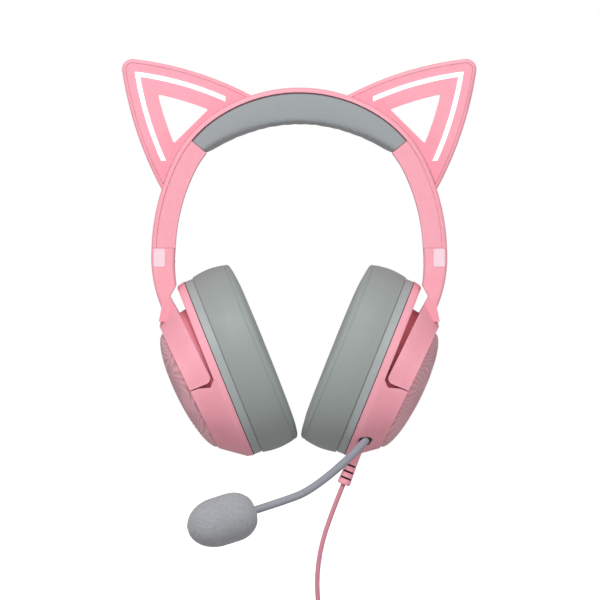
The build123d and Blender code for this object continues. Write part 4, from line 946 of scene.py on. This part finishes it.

# %% [markdown]
# ## Ridged side plates
# The round plate on each cup is covered with fine ridges that wander like the height lines
# of a map. A quarter of an ellipse is spun into a dome, and each point is then lifted by
# a wave of the height of some smooth hills of noise that rise towards the plate's top. The
# wave is kept on the points too, and paints shade into the valleys: the crests stay pale.

# %% Ridged plates
PLATE_HALF = (30.2 * MM, 33.6 * MM)
PLATE_H = 8.0 * MM
PLATE_LOOPS = 120
PLATE_SPOKES = 160
RIDGE_PITCH = 1.5 * MM
RIDGE_HEIGHT = 0.34 * MM
WANDER = 14.0 * MM  # how high the hills are whose height lines the ridges follow
FACE_LEAN = CUP_TILT + math.radians(3.9)
for side_name, side in SIDES.items():
    face_out = Vector((side * math.cos(FACE_LEAN), 0, -math.sin(FACE_LEAN)))
    face_up = Vector((side * math.sin(FACE_LEAN), 0, math.cos(FACE_LEAN)))
    middle = cup_frame(side) @ Vector((0, 0, 18.7 * MM)) - face_up * 5.0 * MM
    to_face = Matrix((Vector((0, 1, 0)), face_up, face_out)).transposed().to_4x4()
    plate = bmesh.new()
    crest = plate.verts.layers.float.new("crest")
    quarter = [0.5 * math.pi * n / PLATE_LOOPS for n in range(PLATE_LOOPS + 1)]
    edge_points = [plate.verts.new((math.sin(q), 0, math.cos(q))) for q in quarter]
    rib = [plate.edges.new(pair) for pair in zip(edge_points, edge_points[1:])]
    bmesh.ops.spin(plate, geom=edge_points + rib, axis=(0, 0, 1), angle=2 * math.pi,
                   steps=PLATE_SPOKES, use_merge=True)
    bmesh.ops.remove_doubles(plate, verts=plate.verts, dist=0.0001)
    for vertex in plate.verts:
        flat = Vector((vertex.co.x * PLATE_HALF[0], vertex.co.y * PLATE_HALF[1], 0))
        hill = noise.noise(flat * 38 + Vector((3.1, side, 0))) * WANDER
        wave = 0.5 + 0.5 * math.cos(2 * math.pi * (0.9 * flat.y + hill) / RIDGE_PITCH)
        fade = min(1.0, (1 - math.hypot(vertex.co.x, vertex.co.y)) * 14)
        lift = RIDGE_HEIGHT * (wave - 1) * max(0.0, fade)
        vertex.co = flat + Vector((0, 0, vertex.co.z * PLATE_H + lift))
        # the wave, 1 on a crest, later sets the painted shade of the valleys
        vertex[crest] = wave
    rim = [e for e in plate.edges if e.is_boundary]
    skirt = bmesh.ops.extrude_edge_only(plate, edges=rim)
    skirt_verts = [v for v in skirt["geom"] if isinstance(v, bmesh.types.BMVert)]
    bmesh.ops.translate(plate, verts=skirt_verts, vec=(0, 0, -0.1 * MM))
    bmesh.ops.holes_fill(plate, edges=[e for e in plate.edges if e.is_boundary])
    bmesh.ops.transform(plate, matrix=Matrix.Translation(middle) @ to_face, verts=plate.verts)
    ridged = to_object(f"ridged_plate_{side_name}", plate)
    finish_piece(ridged, f"{side_name}_cup", "pink_ridged", [f"grille_face_{side_name}"])
    print(ridged.name, len(ridged.data.polygons), "faces")

# %% [markdown]
# ## Boom
# The boom is a bendable arm in a rubber sleeve. The model has two joints in it, one near
# the cup and one near the microphone, so the sleeve is made as two tubes that meet between
# them. Neither rides on a joint; each is a skin of rings along the boom's spline.

# %% Sleeves of the boom
BOOM_D = 4.2 * MM
STEP = 0.6 * MM
boom_route = [Vector(p) for p in (
    (0.03560, -0.02400, -0.16900), (0.0282, -0.0340, -0.1776), (0.0058, -0.0570, -0.1955),
    (-0.0076, -0.0655, -0.2006), (-0.0247, -0.0720, -0.2059))]
boom_line = smooth_line("boom_line", boom_route, 0.0)
boom_line.data.resolution_u = 24
centre = bpy.data.meshes.new_from_object(
    boom_line.evaluated_get(bpy.context.evaluated_depsgraph_get()))
centre_points = [centre.vertices[0].co.copy()]
for vertex in centre.vertices:
    if (vertex.co - centre_points[-1]).length > STEP:
        centre_points.append(vertex.co.copy())
bpy.data.objects.remove(boom_line)
half = min(range(len(centre_points)), key=lambda n: abs(centre_points[n].x - 0.002))


def sleeve(name, points):
    """A tube round points along a line, with a UV map that runs along it."""
    def on_sleeve(number, share):
        ahead = points[min(number + 1, len(points) - 1)] - points[max(number - 1, 0)]
        level = ahead.cross(Vector((0, 0, 1))).normalized()
        upright = level.cross(ahead).normalized()
        turn = 2 * math.pi * share
        return points[number] + (level * math.cos(turn) + upright * math.sin(turn)) * BOOM_D / 2

    made = ringed(name, len(points), 24, on_sleeve, False)
    layer = made.data.uv_layers.new(name="UVMap")
    for loop in made.data.loops:
        spot = made.data.vertices[loop.vertex_index].co
        near = min(range(len(points)), key=lambda n: (points[n] - spot).length)
        layer.data[loop.index].uv = (near / len(points), 0.5)
    return made


lower_sleeve = sleeve("boom_sleeve_lower", centre_points[:half + 1])
upper_sleeve = sleeve("boom_sleeve_upper", centre_points[half:])
finish_piece(lower_sleeve, None, "boom_rubber", ["boom_lower"])
finish_piece(upper_sleeve, None, "boom_rubber", ["boom_middle", "boom_upper"])
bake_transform(lower_sleeve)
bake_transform(upper_sleeve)
print("sleeves:", len(lower_sleeve.data.polygons), len(upper_sleeve.data.polygons), "faces")

# %% [markdown]
# ## Windscreen
# The foam ball over the microphone is soft and open. It swells very little, because foam
# holds its own shape, and its skin is then roughened with fine noise. It has no seams to
# follow, so an even voxel mesh of the CAD shape serves.

# %% Foam windscreen
foam_ball = stuffed(even_copy("foam_windscreen", "windscreen", 1.6 * MM), 0.3 * MM,
                    lambda point, normal: False, smoothing=4)
rough_skin = [noise.noise(v.co * 900) * 0.12 * MM for v in foam_ball.data.vertices]
for vertex, lift in zip(foam_ball.data.vertices, rough_skin):
    vertex.co += vertex.normal * lift
finish_piece(foam_ball, "microphone", "foam", ["windscreen"])

# %% [markdown]
# ## Cable tie
# A short strap of hook-and-loop tape holds the coil at its top. It is a flat loop with
# rounded corners round the turns.

# %% Strap round the coil
TIE_W = 6.0 * MM
strap = bmesh.new()
strap_middle = COIL_CENTRE + Vector((0, 0, COIL_R))
across = (ROW_TURNS / 2 + 0.15) * TURN_GAP
high = 2.15 * TURN_GAP
bmesh.ops.create_grid(strap, x_segments=1, y_segments=1, size=1.0)
bmesh.ops.scale(strap, verts=strap.verts, vec=(across, high, 1))
bmesh.ops.bevel(strap, geom=strap.verts[:], affect="VERTICES", offset=2.4 * MM, segments=6,
                profile=0.5, material=-1)
bmesh.ops.delete(strap, geom=strap.faces[:], context="FACES_ONLY")
side_wall = bmesh.ops.extrude_edge_only(strap, edges=strap.edges[:])
wall_verts = [v for v in side_wall["geom"] if isinstance(v, bmesh.types.BMVert)]
bmesh.ops.translate(strap, verts=wall_verts, vec=(0, 0, TIE_W))
bmesh.ops.translate(strap, verts=strap.verts, vec=(0, 0, -TIE_W / 2))
bmesh.ops.recalc_face_normals(strap, faces=strap.faces)
bmesh.ops.solidify(strap, geom=strap.faces[:], thickness=-0.8 * MM)
turned = Matrix(((0, 0, 1), (1, 0, 0), (0, 1, 0))).to_4x4()
bmesh.ops.transform(strap, matrix=Matrix.Translation(strap_middle) @ turned, verts=strap.verts)
tie = to_object("cable_strap", strap, smooth=False)
finish_piece(tie, "left_cup", "tie_black", ["coil_tie"])
print("strap faces:", len(tie.data.polygons))
